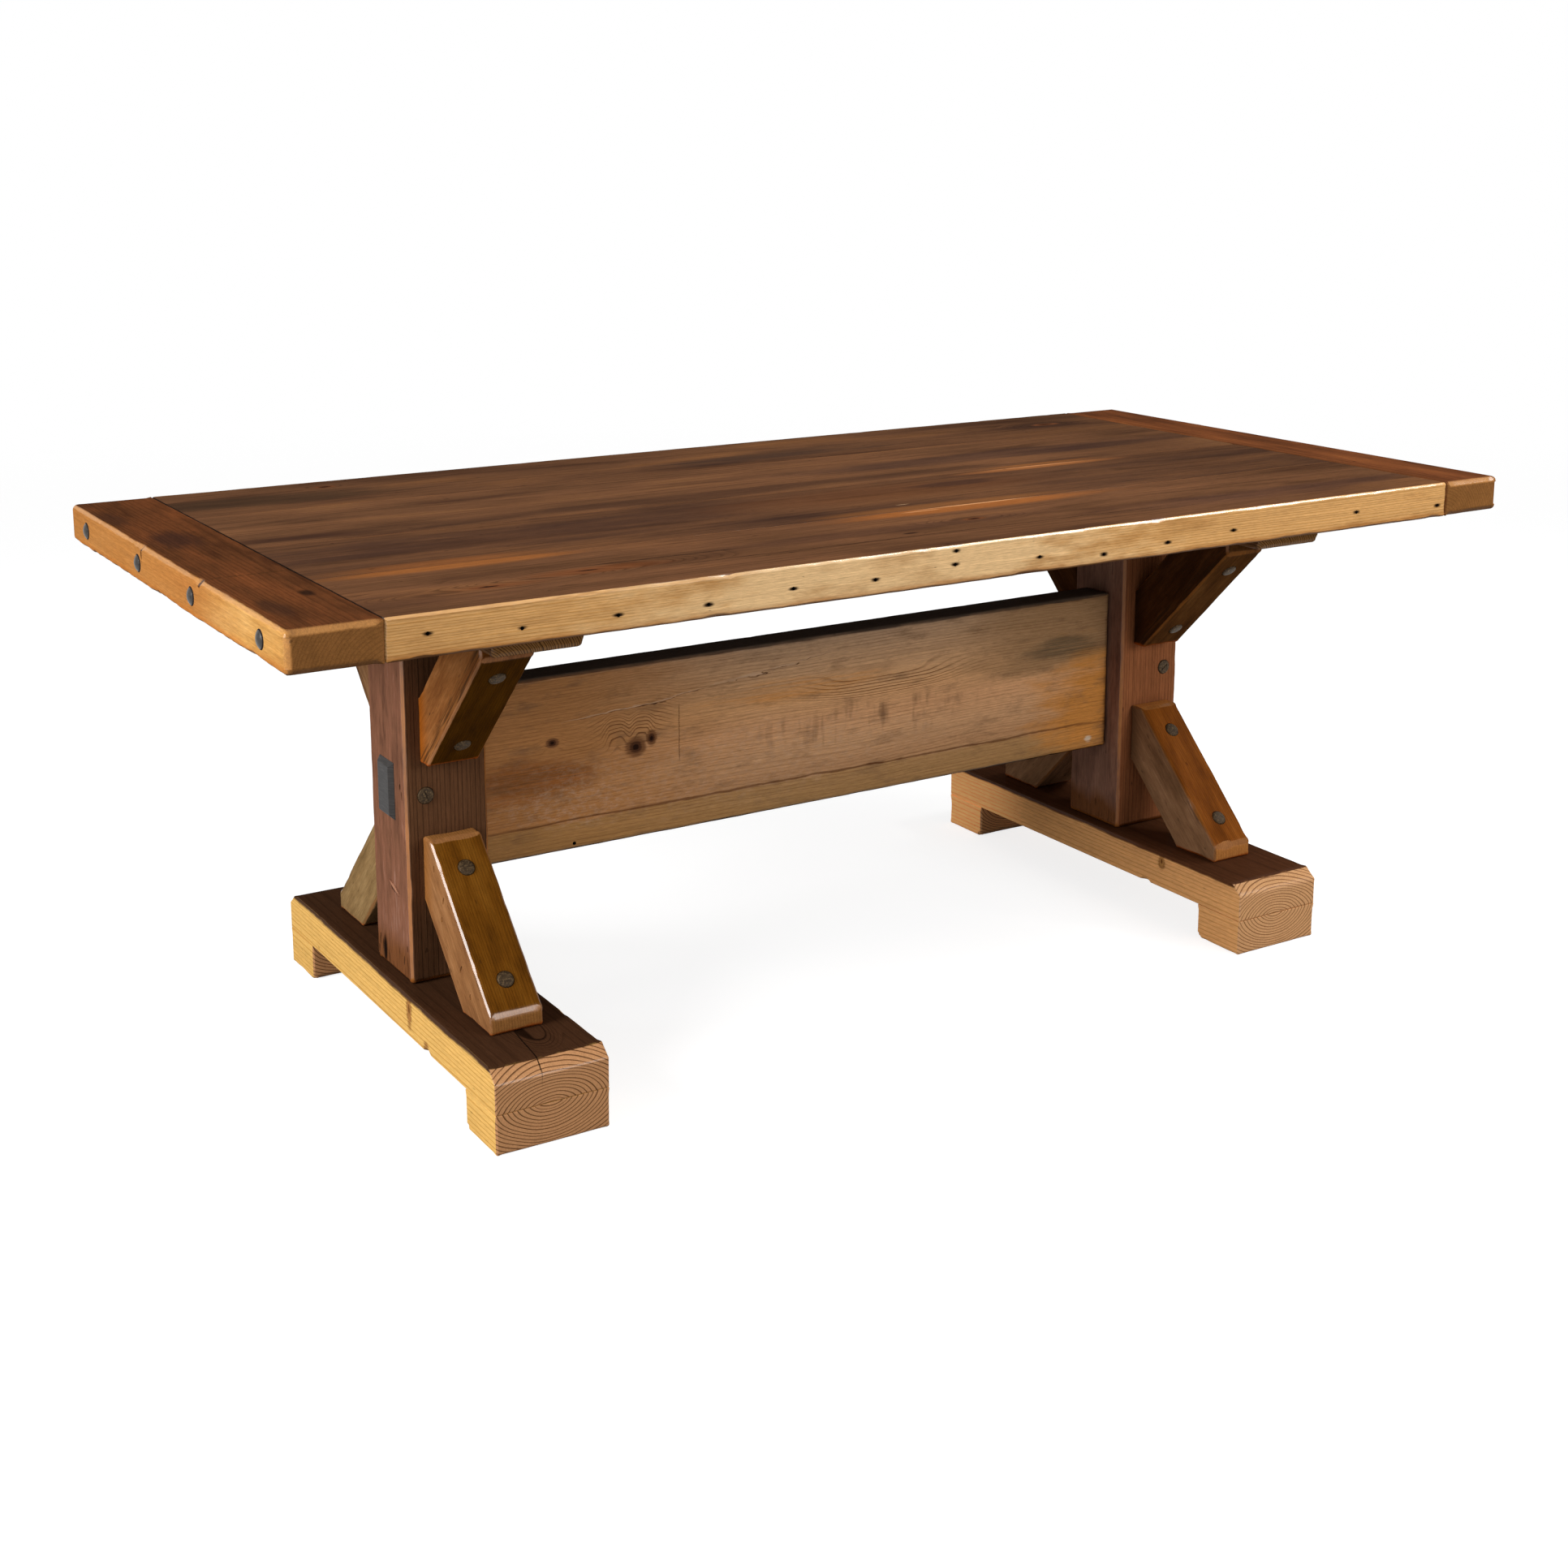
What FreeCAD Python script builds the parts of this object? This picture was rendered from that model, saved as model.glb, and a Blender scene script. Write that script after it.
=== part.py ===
import FreeCAD, Part
import math
import os
from FreeCAD import Rotation, Vector

# Table top, millimetres: X runs along the table, Y across it, Z up from the floor
table_length = 2040.0
table_width = 962.0
table_height = 762.0
top_thickness = 55.0
breadboard_width = 121.0
plank_width_shares = (0.260, 0.245, 0.271, 0.224)
top_arris = 4.0
top_corner = 9.0
seam_arris = 1.0

# Tongues on the plank ends, and the stopped groove that takes them
tongue_length = 28.0
tongue_thickness = 18.0
groove_stop = 40.0

# Dowels across the plank seams
dowel_diameter = 12.0
dowel_length = 60.0
dowel_place_shares = (-0.42, -0.21, 0.0, 0.21, 0.42)

# Old nail holes in the front edge: share of the plank's length from its middle, share of its thickness
nail_hole_diameter = 5.0
nail_hole_depth = 12.0
nail_place_shares = (
    (-0.470, 0.545), (-0.402, 0.380), (-0.329, 0.380), (-0.257, 0.345), (-0.186, 0.455),
    (-0.114, 0.400), (-0.041, 0.310), (-0.040, 0.820), (0.041, 0.420), (0.106, 0.255),
    (0.173, 0.345), (0.245, 0.435), (0.388, 0.480), (0.488, 0.380),
)

# Dome head bolts through the breadboard ends: places are shares of the table's width
dome_diameter = 26.0
dome_height = 5.0
dome_shank_diameter = 10.0
dome_shank_grip = 70.0
dome_bolt_shares = (-0.410, -0.127, 0.127, 0.410)

# Trestles: each post's middle stands this far in from the table's end
trestle_overhang = 365.0
post_width = 126.0
post_depth = 130.0
post_arris = 5.0
post_foot_chamfer = 6.0
stub_width = 60.0
stub_depth = 70.0
foot_stub_height = 35.0
head_stub_height = 25.0

# Bearers across the underside of the top
bearer_width = 130.0
bearer_length = 764.0
bearer_thickness = 41.0
bearer_round = 9.0

# Feet: a beam on two pads
foot_width = 167.0
foot_length = 790.0
foot_beam_thickness = 59.0
foot_end_drop = 16.0
foot_end_run = 20.0
foot_arris = 4.0
pad_length = 98.0
pad_height = 57.0
pad_round = 12.0

# Braces: 45 degree timbers with a square nose and toe, and a gap of bare post between upper and lower
brace_gap = 108.0
brace_nose = 27.0
brace_width = 79.0
brace_depth = 86.0
brace_arris = 3.0

# Round head bolts, two in each brace
bolt_head_diameter = 24.0
bolt_head_height = 5.0
bolt_recess = 2.0
bolt_head_bevel = 1.2
bolt_shank_diameter = 12.0
bolt_grip = 45.0
bolt_end_offset = 50.0

# Stretcher plank with a through tenon at each end, a little above the posts' middle height
stretcher_lift = 4.5
stretcher_height = 273.0
stretcher_thickness = 61.0
stretcher_arris = 7.0
tenon_height = 85.0
tenon_thickness = 52.0
tenon_proud = 7.0
tenon_bevel = 6.5

# Slotted bolts that pin the tenons in the posts
pin_offset = 32.0
pin_head_diameter = 24.0
pin_head_height = 5.0
pin_head_bevel = 1.2
pin_slot_width = 3.0
pin_slot_depth = 2.0
pin_shank_diameter = 12.0
pin_shank_length = 110.0
pin_recess = 2.5

# Hidden wood screws
screw_head_diameter = 12.0
screw_head_height = 5.0
screw_shank_diameter = 6.0
screw_grip = 30.0
bearer_screw_spread = 96.0
bearer_screw_recess = 14.0
bearer_screw_shares = (-0.42, -0.17, 0.17, 0.42)
pad_screw_spread = 92.0
pad_screw_recess = 20.0

# Clearances, the overrun of cuts, and the limit within which two places are the same
wood_clearance = 0.3
metal_clearance = 0.2
head_clearance = 0.8
overrun = 5.0
same_place = 0.001

# Heights and places that follow from the sizes above
top_underside = table_height - top_thickness
bearer_underside = top_underside - bearer_thickness
foot_top = pad_height + foot_beam_thickness
brace_leg = (bearer_underside - foot_top - brace_gap) / 2
trestle_spread = table_length - 2 * trestle_overhang
plank_length = table_length - 2 * breadboard_width
top_middle = table_height - top_thickness / 2
stretcher_middle = (foot_top + bearer_underside) / 2 + stretcher_lift
stretcher_bottom = stretcher_middle - stretcher_height / 2
stretcher_top = stretcher_middle + stretcher_height / 2
stretcher_half_length = trestle_spread / 2 - post_width / 2
x_axis = Vector(1, 0, 0)
y_axis = Vector(0, 1, 0)
z_axis = Vector(0, 0, 1)
sides = {"left": -1, "right": 1}
faces = {"front": -1, "back": 1}


def block(x_low, x_high, y_low, y_high, z_low, z_high):
    corner = Vector(x_low, y_low, z_low)
    return Part.makeBox(x_high - x_low, y_high - y_low, z_high - z_low, corner)


def prism(outline, run):
    return Part.Face(Part.makePolygon(outline + outline[:1])).extrude(run)


def rod(diameter, start, direction, length):
    return Part.makeCylinder(diameter / 2, length, start, direction)


def on_plane(edge, axis, place):
    return all(abs(corner.Point.dot(axis) - place) < same_place for corner in edge.Vertexes)


def runs_along(edge, axis):
    ends = [corner.Point for corner in edge.Vertexes]
    if len(ends) < 2:
        return False
    along = ends[1] - ends[0]
    return (along - axis * along.dot(axis)).Length < same_place


def eased(shape, radius, chosen):
    return shape.makeFillet(radius, [edge for edge in shape.Edges if chosen(edge)])


def seated(shape, seat, outward):
    placed = shape.copy()
    placed.Placement = FreeCAD.Placement(seat, Rotation(z_axis, outward))
    return placed


# Fasteners stand on the origin: the head above the floor of its seat, the shank below

def dome_bolt():
    radius = dome_diameter / 2
    ball = (radius * radius + dome_height * dome_height) / (2 * dome_height)
    lean = math.asin(radius / ball) / 2
    rim = Vector(radius, 0, 0)
    crown = Vector(0, 0, dome_height)
    between = Vector(ball * math.sin(lean), 0, dome_height - ball + ball * math.cos(lean))
    shank_end = -breadboard_width - dome_shank_grip
    shank_edge = dome_shank_diameter / 2
    shank = [Vector(shank_edge, 0, 0), Vector(shank_edge, 0, shank_end), Vector(0, 0, shank_end)]
    outline = [rim] + shank + [crown]
    edges = [Part.Arc(crown, between, rim).toShape()]
    for start, end in zip(outline, outline[1:]):
        edges.append(Part.LineSegment(start, end).toShape())
    return Part.Face(Part.Wire(edges)).revolve(Vector(), z_axis, 360)


def round_bolt(head_diameter, head_height, head_bevel, shank_diameter, shank_length):
    head = rod(head_diameter, Vector(), z_axis, head_height)
    rim = [edge for edge in head.Edges if on_plane(edge, z_axis, head_height) and edge.Closed]
    shank = rod(shank_diameter, Vector(), -z_axis, shank_length)
    return head.makeChamfer(head_bevel, rim).fuse(shank)


def brace_bolt():
    return round_bolt(
        bolt_head_diameter, bolt_head_height, bolt_head_bevel,
        bolt_shank_diameter, brace_depth - bolt_recess + bolt_grip)


def pin_bolt():
    bolt = round_bolt(
        pin_head_diameter, pin_head_height, pin_head_bevel, pin_shank_diameter, pin_shank_length)
    reach = pin_head_diameter / 2 + overrun
    slot = block(
        -reach, reach, -pin_slot_width / 2, pin_slot_width / 2,
        pin_head_height - pin_slot_depth, pin_head_height + overrun)
    return bolt.cut(slot)


def wood_screw(hold):
    head = rod(screw_head_diameter, Vector(), -z_axis, screw_head_height)
    return head.fuse(rod(screw_shank_diameter, Vector(), z_axis, hold))


def screw_hole(seat, recess, hold):
    head_room = rod(screw_head_diameter + 2 * metal_clearance, seat, -z_axis, recess + overrun)
    shank_room = rod(screw_shank_diameter + 2 * metal_clearance, seat, z_axis, hold + metal_clearance)
    return head_room.fuse(shank_room)


# Places that two or more pieces share

def plank_span(index):
    low_share = sum(plank_width_shares[:index]) - sum(plank_width_shares) / 2
    return low_share * table_width, (low_share + plank_width_shares[index]) * table_width


def seam_places():
    return [plank_span(index)[1] for index in range(len(plank_width_shares) - 1)]


def dome_bolt_seats(side):
    return [Vector(side * table_length / 2, share * table_width, top_middle) for share in dome_bolt_shares]


def dowel_starts():
    starts = []
    for seam in seam_places():
        for share in dowel_place_shares:
            starts.append(Vector(share * plank_length, seam - dowel_length / 2, top_middle))
    return starts


def bearer_screw_seats(side):
    seats = []
    for share in bearer_screw_shares:
        for hand in (-1, 1):
            x = side * trestle_spread / 2 + hand * bearer_screw_spread / 2
            seats.append(Vector(x, share * bearer_length, bearer_underside + bearer_screw_recess))
    return seats


def bearer_screw_hold():
    return bearer_thickness - bearer_screw_recess + screw_grip


def pad_screw_seats(side, face):
    y = face * (foot_length - pad_length) / 2
    middle = side * trestle_spread / 2
    return [Vector(middle + hand * pad_screw_spread / 2, y, pad_screw_recess) for hand in (-1, 1)]


def pad_screw_hold():
    return pad_height - pad_screw_recess + screw_grip


def pad_screw_holes(side, face):
    hold = pad_screw_hold()
    return [screw_hole(seat, pad_screw_recess, hold) for seat in pad_screw_seats(side, face)]


def brace_point(side, face, level, out, up):
    y = face * (post_depth / 2 + out)
    z = foot_top + up if level == "lower" else bearer_underside - up
    return Vector(side * trestle_spread / 2, y, z)


def brace_bolt_seats(side, face, level):
    step = bolt_end_offset / math.sqrt(2)
    inward = -brace_outward(face, level)
    places = ((brace_nose + step, brace_leg - step), (brace_leg - step, brace_nose + step))
    return [brace_point(side, face, level, out, up) + inward * bolt_recess for out, up in places]


def brace_outward(face, level):
    return Vector(0, face, 1 if level == "lower" else -1).normalize()


def brace_bolt_holes(side, level):
    holes = []
    for face in faces.values():
        inward = -brace_outward(face, level)
        for seat in brace_bolt_seats(side, face, level):
            length = brace_depth - bolt_recess + bolt_grip + metal_clearance
            holes.append(rod(bolt_shank_diameter + 2 * metal_clearance, seat, inward, length))
            holes.append(rod(bolt_head_diameter + 2 * head_clearance, seat, -inward, bolt_recess + overrun))
    return holes


def pin_seat(side):
    x = side * (trestle_spread / 2 + pin_offset)
    return Vector(x, -post_depth / 2 + pin_recess, stretcher_middle)


def pin_hole(side):
    seat = pin_seat(side)
    head_room = rod(pin_head_diameter + 2 * head_clearance, seat, -y_axis, pin_recess + overrun)
    shank_diameter = pin_shank_diameter + 2 * metal_clearance
    return head_room.fuse(rod(shank_diameter, seat, y_axis, pin_shank_length + metal_clearance))


# Top

def old_nail_holes():
    holes = []
    for along_share, up_share in nail_place_shares:
        x = along_share * plank_length
        z = top_underside + up_share * top_thickness
        start = Vector(x, -table_width / 2 - overrun, z)
        holes.append(rod(nail_hole_diameter, start, y_axis, nail_hole_depth + overrun))
    return holes


def top_plank(index):
    low, high = plank_span(index)
    half = plank_length / 2
    body = block(-half, half, low, high, top_underside, table_height)
    last = len(plank_width_shares) - 1
    outer = {0: low, last: high}.get(index)
    if outer is not None:
        body = eased(body, top_arris, lambda edge: runs_along(edge, x_axis) and on_plane(edge, y_axis, outer))
    for seam in (low, high):
        if seam != outer:
            body = eased(body, seam_arris, lambda edge: runs_along(edge, x_axis)
                         and on_plane(edge, y_axis, seam) and on_plane(edge, z_axis, table_height))
    stop = table_width / 2 - groove_stop - wood_clearance
    reach = half + tongue_length
    tongue = block(
        -reach, reach, max(low, -stop), min(high, stop),
        top_middle - tongue_thickness / 2, top_middle + tongue_thickness / 2)
    holes = [rod(dowel_diameter + 2 * metal_clearance, start - y_axis * wood_clearance, y_axis,
                 dowel_length + 2 * wood_clearance) for start in dowel_starts()]
    for side in sides.values():
        for seat in dome_bolt_seats(side):
            holes.append(rod(dome_shank_diameter + 2 * metal_clearance, seat, -side * x_axis,
                             breadboard_width + dome_shank_grip + metal_clearance))
        for seat in bearer_screw_seats(side):
            holes.append(screw_hole(seat, bearer_screw_recess, bearer_screw_hold()))
    if index == 0:
        holes += old_nail_holes()
    return body.fuse(tongue).cut(holes)


def breadboard(side):
    inner = side * plank_length / 2
    outer = side * table_length / 2
    half = table_width / 2
    body = block(min(inner, outer), max(inner, outer), -half, half, top_underside, table_height)
    body = eased(body, top_corner, lambda edge: runs_along(edge, z_axis) and on_plane(edge, x_axis, outer))
    body = eased(body, top_arris, lambda edge: not on_plane(edge, x_axis, inner)
                 and (on_plane(edge, z_axis, table_height) or on_plane(edge, z_axis, top_underside)))
    groove_end = inner + side * (tongue_length + wood_clearance)
    groove_start = inner - side * overrun
    groove_half = tongue_thickness / 2 + wood_clearance
    groove = block(
        min(groove_start, groove_end), max(groove_start, groove_end), groove_stop - half, half - groove_stop,
        top_middle - groove_half, top_middle + groove_half)
    holes = [rod(dome_shank_diameter + 2 * metal_clearance, seat + side * x_axis * overrun, -side * x_axis,
                 breadboard_width + 2 * overrun) for seat in dome_bolt_seats(side)]
    return body.cut([groove] + holes)


def breadboard_bolts(side):
    return Part.makeCompound([seated(dome_bolt(), seat, side * x_axis) for seat in dome_bolt_seats(side)])


def plank_dowels():
    return Part.makeCompound([rod(dowel_diameter, start, y_axis, dowel_length) for start in dowel_starts()])


# Trestles

def bearer(side):
    middle = side * trestle_spread / 2
    body = block(
        middle - bearer_width / 2, middle + bearer_width / 2, -bearer_length / 2, bearer_length / 2,
        bearer_underside, top_underside)
    body = eased(body, bearer_round, lambda edge: runs_along(edge, y_axis)
                 and on_plane(edge, z_axis, bearer_underside))
    mortise_width = stub_width + 2 * wood_clearance
    mortise_depth = stub_depth + 2 * wood_clearance
    mortise = block(
        middle - mortise_width / 2, middle + mortise_width / 2, -mortise_depth / 2, mortise_depth / 2,
        bearer_underside - overrun, bearer_underside + head_stub_height + wood_clearance)
    holes = [screw_hole(seat, bearer_screw_recess, bearer_screw_hold()) for seat in bearer_screw_seats(side)]
    return body.cut([mortise] + holes + brace_bolt_holes(side, "upper"))


def bearer_screws(side):
    screw = wood_screw(bearer_screw_hold())
    return Part.makeCompound([seated(screw, seat, z_axis) for seat in bearer_screw_seats(side)])


def post(side):
    middle = side * trestle_spread / 2
    body = block(
        middle - post_width / 2, middle + post_width / 2, -post_depth / 2, post_depth / 2,
        foot_top, bearer_underside)
    foot_rim = [edge for edge in body.Edges if on_plane(edge, z_axis, foot_top)]
    body = body.makeChamfer(post_foot_chamfer, foot_rim)
    body = eased(body, post_arris, lambda edge: runs_along(edge, z_axis))
    stub = block(
        middle - stub_width / 2, middle + stub_width / 2, -stub_depth / 2, stub_depth / 2,
        foot_top - foot_stub_height, bearer_underside + head_stub_height)
    mortise_width = tenon_thickness + 2 * wood_clearance
    mortise_height = tenon_height + 2 * wood_clearance
    mortise_reach = post_width / 2 + overrun
    mortise = block(
        middle - mortise_reach, middle + mortise_reach, -mortise_width / 2, mortise_width / 2,
        stretcher_middle - mortise_height / 2, stretcher_middle + mortise_height / 2)
    cuts = [mortise, pin_hole(side)] + brace_bolt_holes(side, "lower") + brace_bolt_holes(side, "upper")
    return body.fuse(stub).cut(cuts)


def foot_beam(side):
    middle = side * trestle_spread / 2
    half = foot_length / 2
    low = middle - foot_width / 2
    outline = [
        Vector(low, -half, pad_height), Vector(low, half, pad_height),
        Vector(low, half, foot_top - foot_end_drop), Vector(low, half - foot_end_run, foot_top),
        Vector(low, foot_end_run - half, foot_top), Vector(low, -half, foot_top - foot_end_drop),
    ]
    body = prism(outline, x_axis * foot_width)
    body = eased(body, foot_arris, lambda edge: not runs_along(edge, x_axis)
                 and not on_plane(edge, z_axis, pad_height))
    mortise_width = stub_width + 2 * wood_clearance
    mortise_depth = stub_depth + 2 * wood_clearance
    mortise = block(
        middle - mortise_width / 2, middle + mortise_width / 2, -mortise_depth / 2, mortise_depth / 2,
        foot_top - foot_stub_height - wood_clearance, foot_top + overrun)
    holes = brace_bolt_holes(side, "lower")
    for face in faces.values():
        holes += pad_screw_holes(side, face)
    return body.cut([mortise] + holes)


def foot_pad(side, face):
    middle = side * trestle_spread / 2
    outer = face * foot_length / 2
    inner = outer - face * pad_length
    body = block(
        middle - foot_width / 2, middle + foot_width / 2, min(inner, outer), max(inner, outer), 0, pad_height)
    body = eased(body, pad_round, lambda edge: runs_along(edge, x_axis)
                 and on_plane(edge, y_axis, inner) and on_plane(edge, z_axis, 0))
    body = eased(body, foot_arris, lambda edge: runs_along(edge, z_axis) and on_plane(edge, y_axis, outer))
    return body.cut(pad_screw_holes(side, face))


def foot_pad_screws(side):
    screw = wood_screw(pad_screw_hold())
    seats = pad_screw_seats(side, faces["front"]) + pad_screw_seats(side, faces["back"])
    return Part.makeCompound([seated(screw, seat, z_axis) for seat in seats])


def brace(side, face, level):
    back = brace_leg + brace_nose - brace_depth * math.sqrt(2)
    corners = (
        (0, back), (0, brace_leg), (brace_nose, brace_leg),
        (brace_leg, brace_nose), (brace_leg, 0), (back, 0))
    outline = [brace_point(side, face, level, out, up) - x_axis * brace_width / 2 for out, up in corners]
    body = prism(outline, x_axis * brace_width)
    body = eased(body, brace_arris, lambda edge: True)
    return body.cut(brace_bolt_holes(side, level))


def brace_bolts(side, level):
    bolts = []
    for face in faces.values():
        for seat in brace_bolt_seats(side, face, level):
            bolts.append(seated(brace_bolt(), seat, brace_outward(face, level)))
    return Part.makeCompound(bolts)


def stretcher():
    half = stretcher_half_length
    body = block(
        -half, half, -stretcher_thickness / 2, stretcher_thickness / 2, stretcher_bottom, stretcher_top)
    body = eased(body, stretcher_arris, lambda edge: True)
    reach = half + post_width + tenon_proud
    tenon = block(
        -reach, reach, -tenon_thickness / 2, tenon_thickness / 2,
        stretcher_middle - tenon_height / 2, stretcher_middle + tenon_height / 2)
    ends = [edge for edge in tenon.Edges if on_plane(edge, x_axis, -reach) or on_plane(edge, x_axis, reach)]
    tenon = tenon.makeChamfer(tenon_bevel, ends)
    return body.fuse(tenon).cut([pin_hole(side) for side in sides.values()])


def stretcher_pin(side):
    return seated(pin_bolt(), pin_seat(side), -y_axis)


def all_pieces():
    pieces = {"stretcher": stretcher(), "plank_dowels": plank_dowels()}
    for index in range(len(plank_width_shares)):
        pieces["top_plank_%d" % (index + 1)] = top_plank(index)
    for hand, side in sides.items():
        pieces["breadboard_" + hand] = breadboard(side)
        pieces["breadboard_bolts_" + hand] = breadboard_bolts(side)
        pieces["bearer_" + hand] = bearer(side)
        pieces["bearer_screws_" + hand] = bearer_screws(side)
        pieces["post_" + hand] = post(side)
        pieces["foot_beam_" + hand] = foot_beam(side)
        pieces["foot_pad_screws_" + hand] = foot_pad_screws(side)
        pieces["stretcher_pin_" + hand] = stretcher_pin(side)
        for level in ("lower", "upper"):
            pieces["%s_brace_bolts_%s" % (level, hand)] = brace_bolts(side, level)
        for end, face in faces.items():
            pieces["foot_pad_%s_%s" % (hand, end)] = foot_pad(side, face)
            for level in ("lower", "upper"):
                pieces["%s_brace_%s_%s" % (level, hand, end)] = brace(side, face, level)
    return pieces


os.makedirs("parts", exist_ok=True)
for name, shape in all_pieces().items():
    shape.exportStep("parts/%s.step" % name)
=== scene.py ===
import math
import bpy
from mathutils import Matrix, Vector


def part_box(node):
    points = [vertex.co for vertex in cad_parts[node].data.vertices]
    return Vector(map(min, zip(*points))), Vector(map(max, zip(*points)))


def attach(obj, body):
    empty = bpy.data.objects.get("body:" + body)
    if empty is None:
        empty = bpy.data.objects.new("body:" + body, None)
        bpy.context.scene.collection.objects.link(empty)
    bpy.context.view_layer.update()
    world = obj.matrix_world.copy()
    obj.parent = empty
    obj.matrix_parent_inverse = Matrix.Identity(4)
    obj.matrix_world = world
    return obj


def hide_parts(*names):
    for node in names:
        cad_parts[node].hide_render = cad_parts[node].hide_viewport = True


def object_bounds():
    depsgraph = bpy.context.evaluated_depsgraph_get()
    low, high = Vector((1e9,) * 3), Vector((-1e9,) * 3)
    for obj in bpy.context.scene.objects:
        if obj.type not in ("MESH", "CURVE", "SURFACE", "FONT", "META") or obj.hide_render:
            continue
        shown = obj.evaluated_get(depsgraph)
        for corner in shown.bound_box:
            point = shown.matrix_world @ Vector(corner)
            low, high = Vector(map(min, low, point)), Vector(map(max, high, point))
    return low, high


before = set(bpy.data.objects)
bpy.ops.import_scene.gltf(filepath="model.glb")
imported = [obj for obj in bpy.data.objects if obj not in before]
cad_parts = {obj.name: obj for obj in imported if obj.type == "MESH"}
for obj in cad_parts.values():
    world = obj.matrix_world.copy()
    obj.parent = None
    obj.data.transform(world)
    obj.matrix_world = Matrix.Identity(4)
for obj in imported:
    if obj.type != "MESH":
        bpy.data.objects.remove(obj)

from types import SimpleNamespace

import bmesh
import bpy
from mathutils import Euler, Matrix, Vector, noise

cad_low, cad_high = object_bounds()


# Foot beams: one heavy softwood beam lies across under each trestle.
# Sawn square and planed, with bare golden sides, ringed ends and a top trodden nearly black.
# The upper edge of each end is cut to a slope.

def block(low, high):
    mesh = bmesh.new()
    bmesh.ops.create_cube(mesh, size=1)
    bmesh.ops.scale(mesh, vec=high - low, verts=mesh.verts)
    bmesh.ops.translate(mesh, vec=(low + high) / 2, verts=mesh.verts)
    return mesh


def prism(outline, run):
    mesh = bmesh.new()
    side = mesh.faces.new([mesh.verts.new(point) for point in outline])
    grown = bmesh.ops.extrude_face_region(mesh, geom=[side])["geom"]
    moved = [part for part in grown if isinstance(part, bmesh.types.BMVert)]
    bmesh.ops.translate(mesh, vec=run, verts=moved)
    bmesh.ops.recalc_face_normals(mesh, faces=mesh.faces)
    return mesh


def weather(mesh, arris, wear, chips, seed, station=0.009, share=None, polish=None, flat=0.8):
    # Eases every arris, more flat than round, then wears it unevenly along its length without leaving
    # the two faces beside it. The shares of wear and of polish go into attributes, for the materials:
    # arrises that look down or to the right get little polish, on this table they have stayed dull.
    swells_per_metre = 13
    ripples_per_metre = 47
    chips_per_metre = 29
    dull_below = 0.12
    dull_right = 0.3

    def alike(one, two):
        return abs(one.length - two.length) < 1e-5 and one.cross(two).length < 1e-7

    def line_of(edge):
        return edge.verts[1].co - edge.verts[0].co

    planes = [(face.normal.copy(), face.verts[0].co.copy()) for face in mesh.faces]
    runs = []
    for edge in mesh.edges:
        if not any(alike(line_of(edge), old) for old in runs):
            runs.append(line_of(edge))
    for run in runs:
        lines = [edge for edge in mesh.edges if alike(line_of(edge), run)]
        bmesh.ops.subdivide_edges(mesh, edges=lines, cuts=max(1, round(run.length / station) - 1))
    sharp = [edge for edge in mesh.edges if edge.calc_face_angle(0.0) > 0.3]
    bmesh.ops.bevel(mesh, geom=sharp, offset=arris, offset_type="OFFSET", segments=3, profile=0.5,
                    affect="EDGES", clamp_overlap=False, material=-1)
    for layer in ("worn", "polished"):
        mesh.verts.layers.float.new(layer)
    worn = mesh.verts.layers.float["worn"]
    polished = mesh.verts.layers.float["polished"]
    shift = Vector((seed * 3.7, seed * 1.9, seed * 5.3))
    most = 0.85 * station / arris
    for vert in mesh.verts:
        near = [(normal, (point - vert.co).dot(normal)) for normal, point in planes]
        near = [(normal, depth) for normal, depth in near if depth < arris * 1.02]
        if len(near) < 2:
            continue
        gram = Matrix([[one.dot(two) for two, _ in near] for one, _ in near]).inverted()
        depths = [depth for _, depth in near]
        lifts = gram @ Vector(depths)
        corner = vert.co + sum((normal * lift for (normal, _), lift in zip(near, lifts)), Vector())
        if len(near) == 2:
            planed = [depth + flat * (depth * arris / sum(depths) - depth) for depth in depths]
            lifts = gram @ Vector(planed)
            vert.co = corner - sum((normal * lift for (normal, _), lift in zip(near, lifts)), Vector())
        depths.sort()
        swell = noise.noise(corner * swells_per_metre + shift)
        ripple = noise.noise(corner * ripples_per_metre + shift)
        chip = noise.noise(corner * chips_per_metre - shift)
        pull = 1 + wear * (0.7 * swell + 0.7 * ripple) + chips * max(0.0, chip - 0.35)
        pull = min(max(pull, 0.5) * (share(corner) if share else 1.0), most)
        vert[worn] = min(1.0, 1.5 * (1 - (depths[1] - depths[0]) / arris)) * min(1.0, pull)
        looks = sum((normal for normal, _ in near), Vector())
        dull = dull_below if looks.z < -0.3 else dull_right if looks.x > 0.3 else 1.0
        vert[polished] = vert[worn] * dull
        vert[polished] *= polish(corner) if polish else 1.0
        vert.co = corner + (vert.co - corner) * pull
    return mesh


def placed(name, data):
    made = bpy.data.objects.new(name, data)
    bpy.context.scene.collection.objects.link(made)
    return made


def solid(mesh, name, materials):
    data = bpy.data.meshes.new(name)
    mesh.to_mesh(data)
    mesh.free()
    for material in materials:
        data.materials.append(material)
    return placed(name, data)


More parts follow.
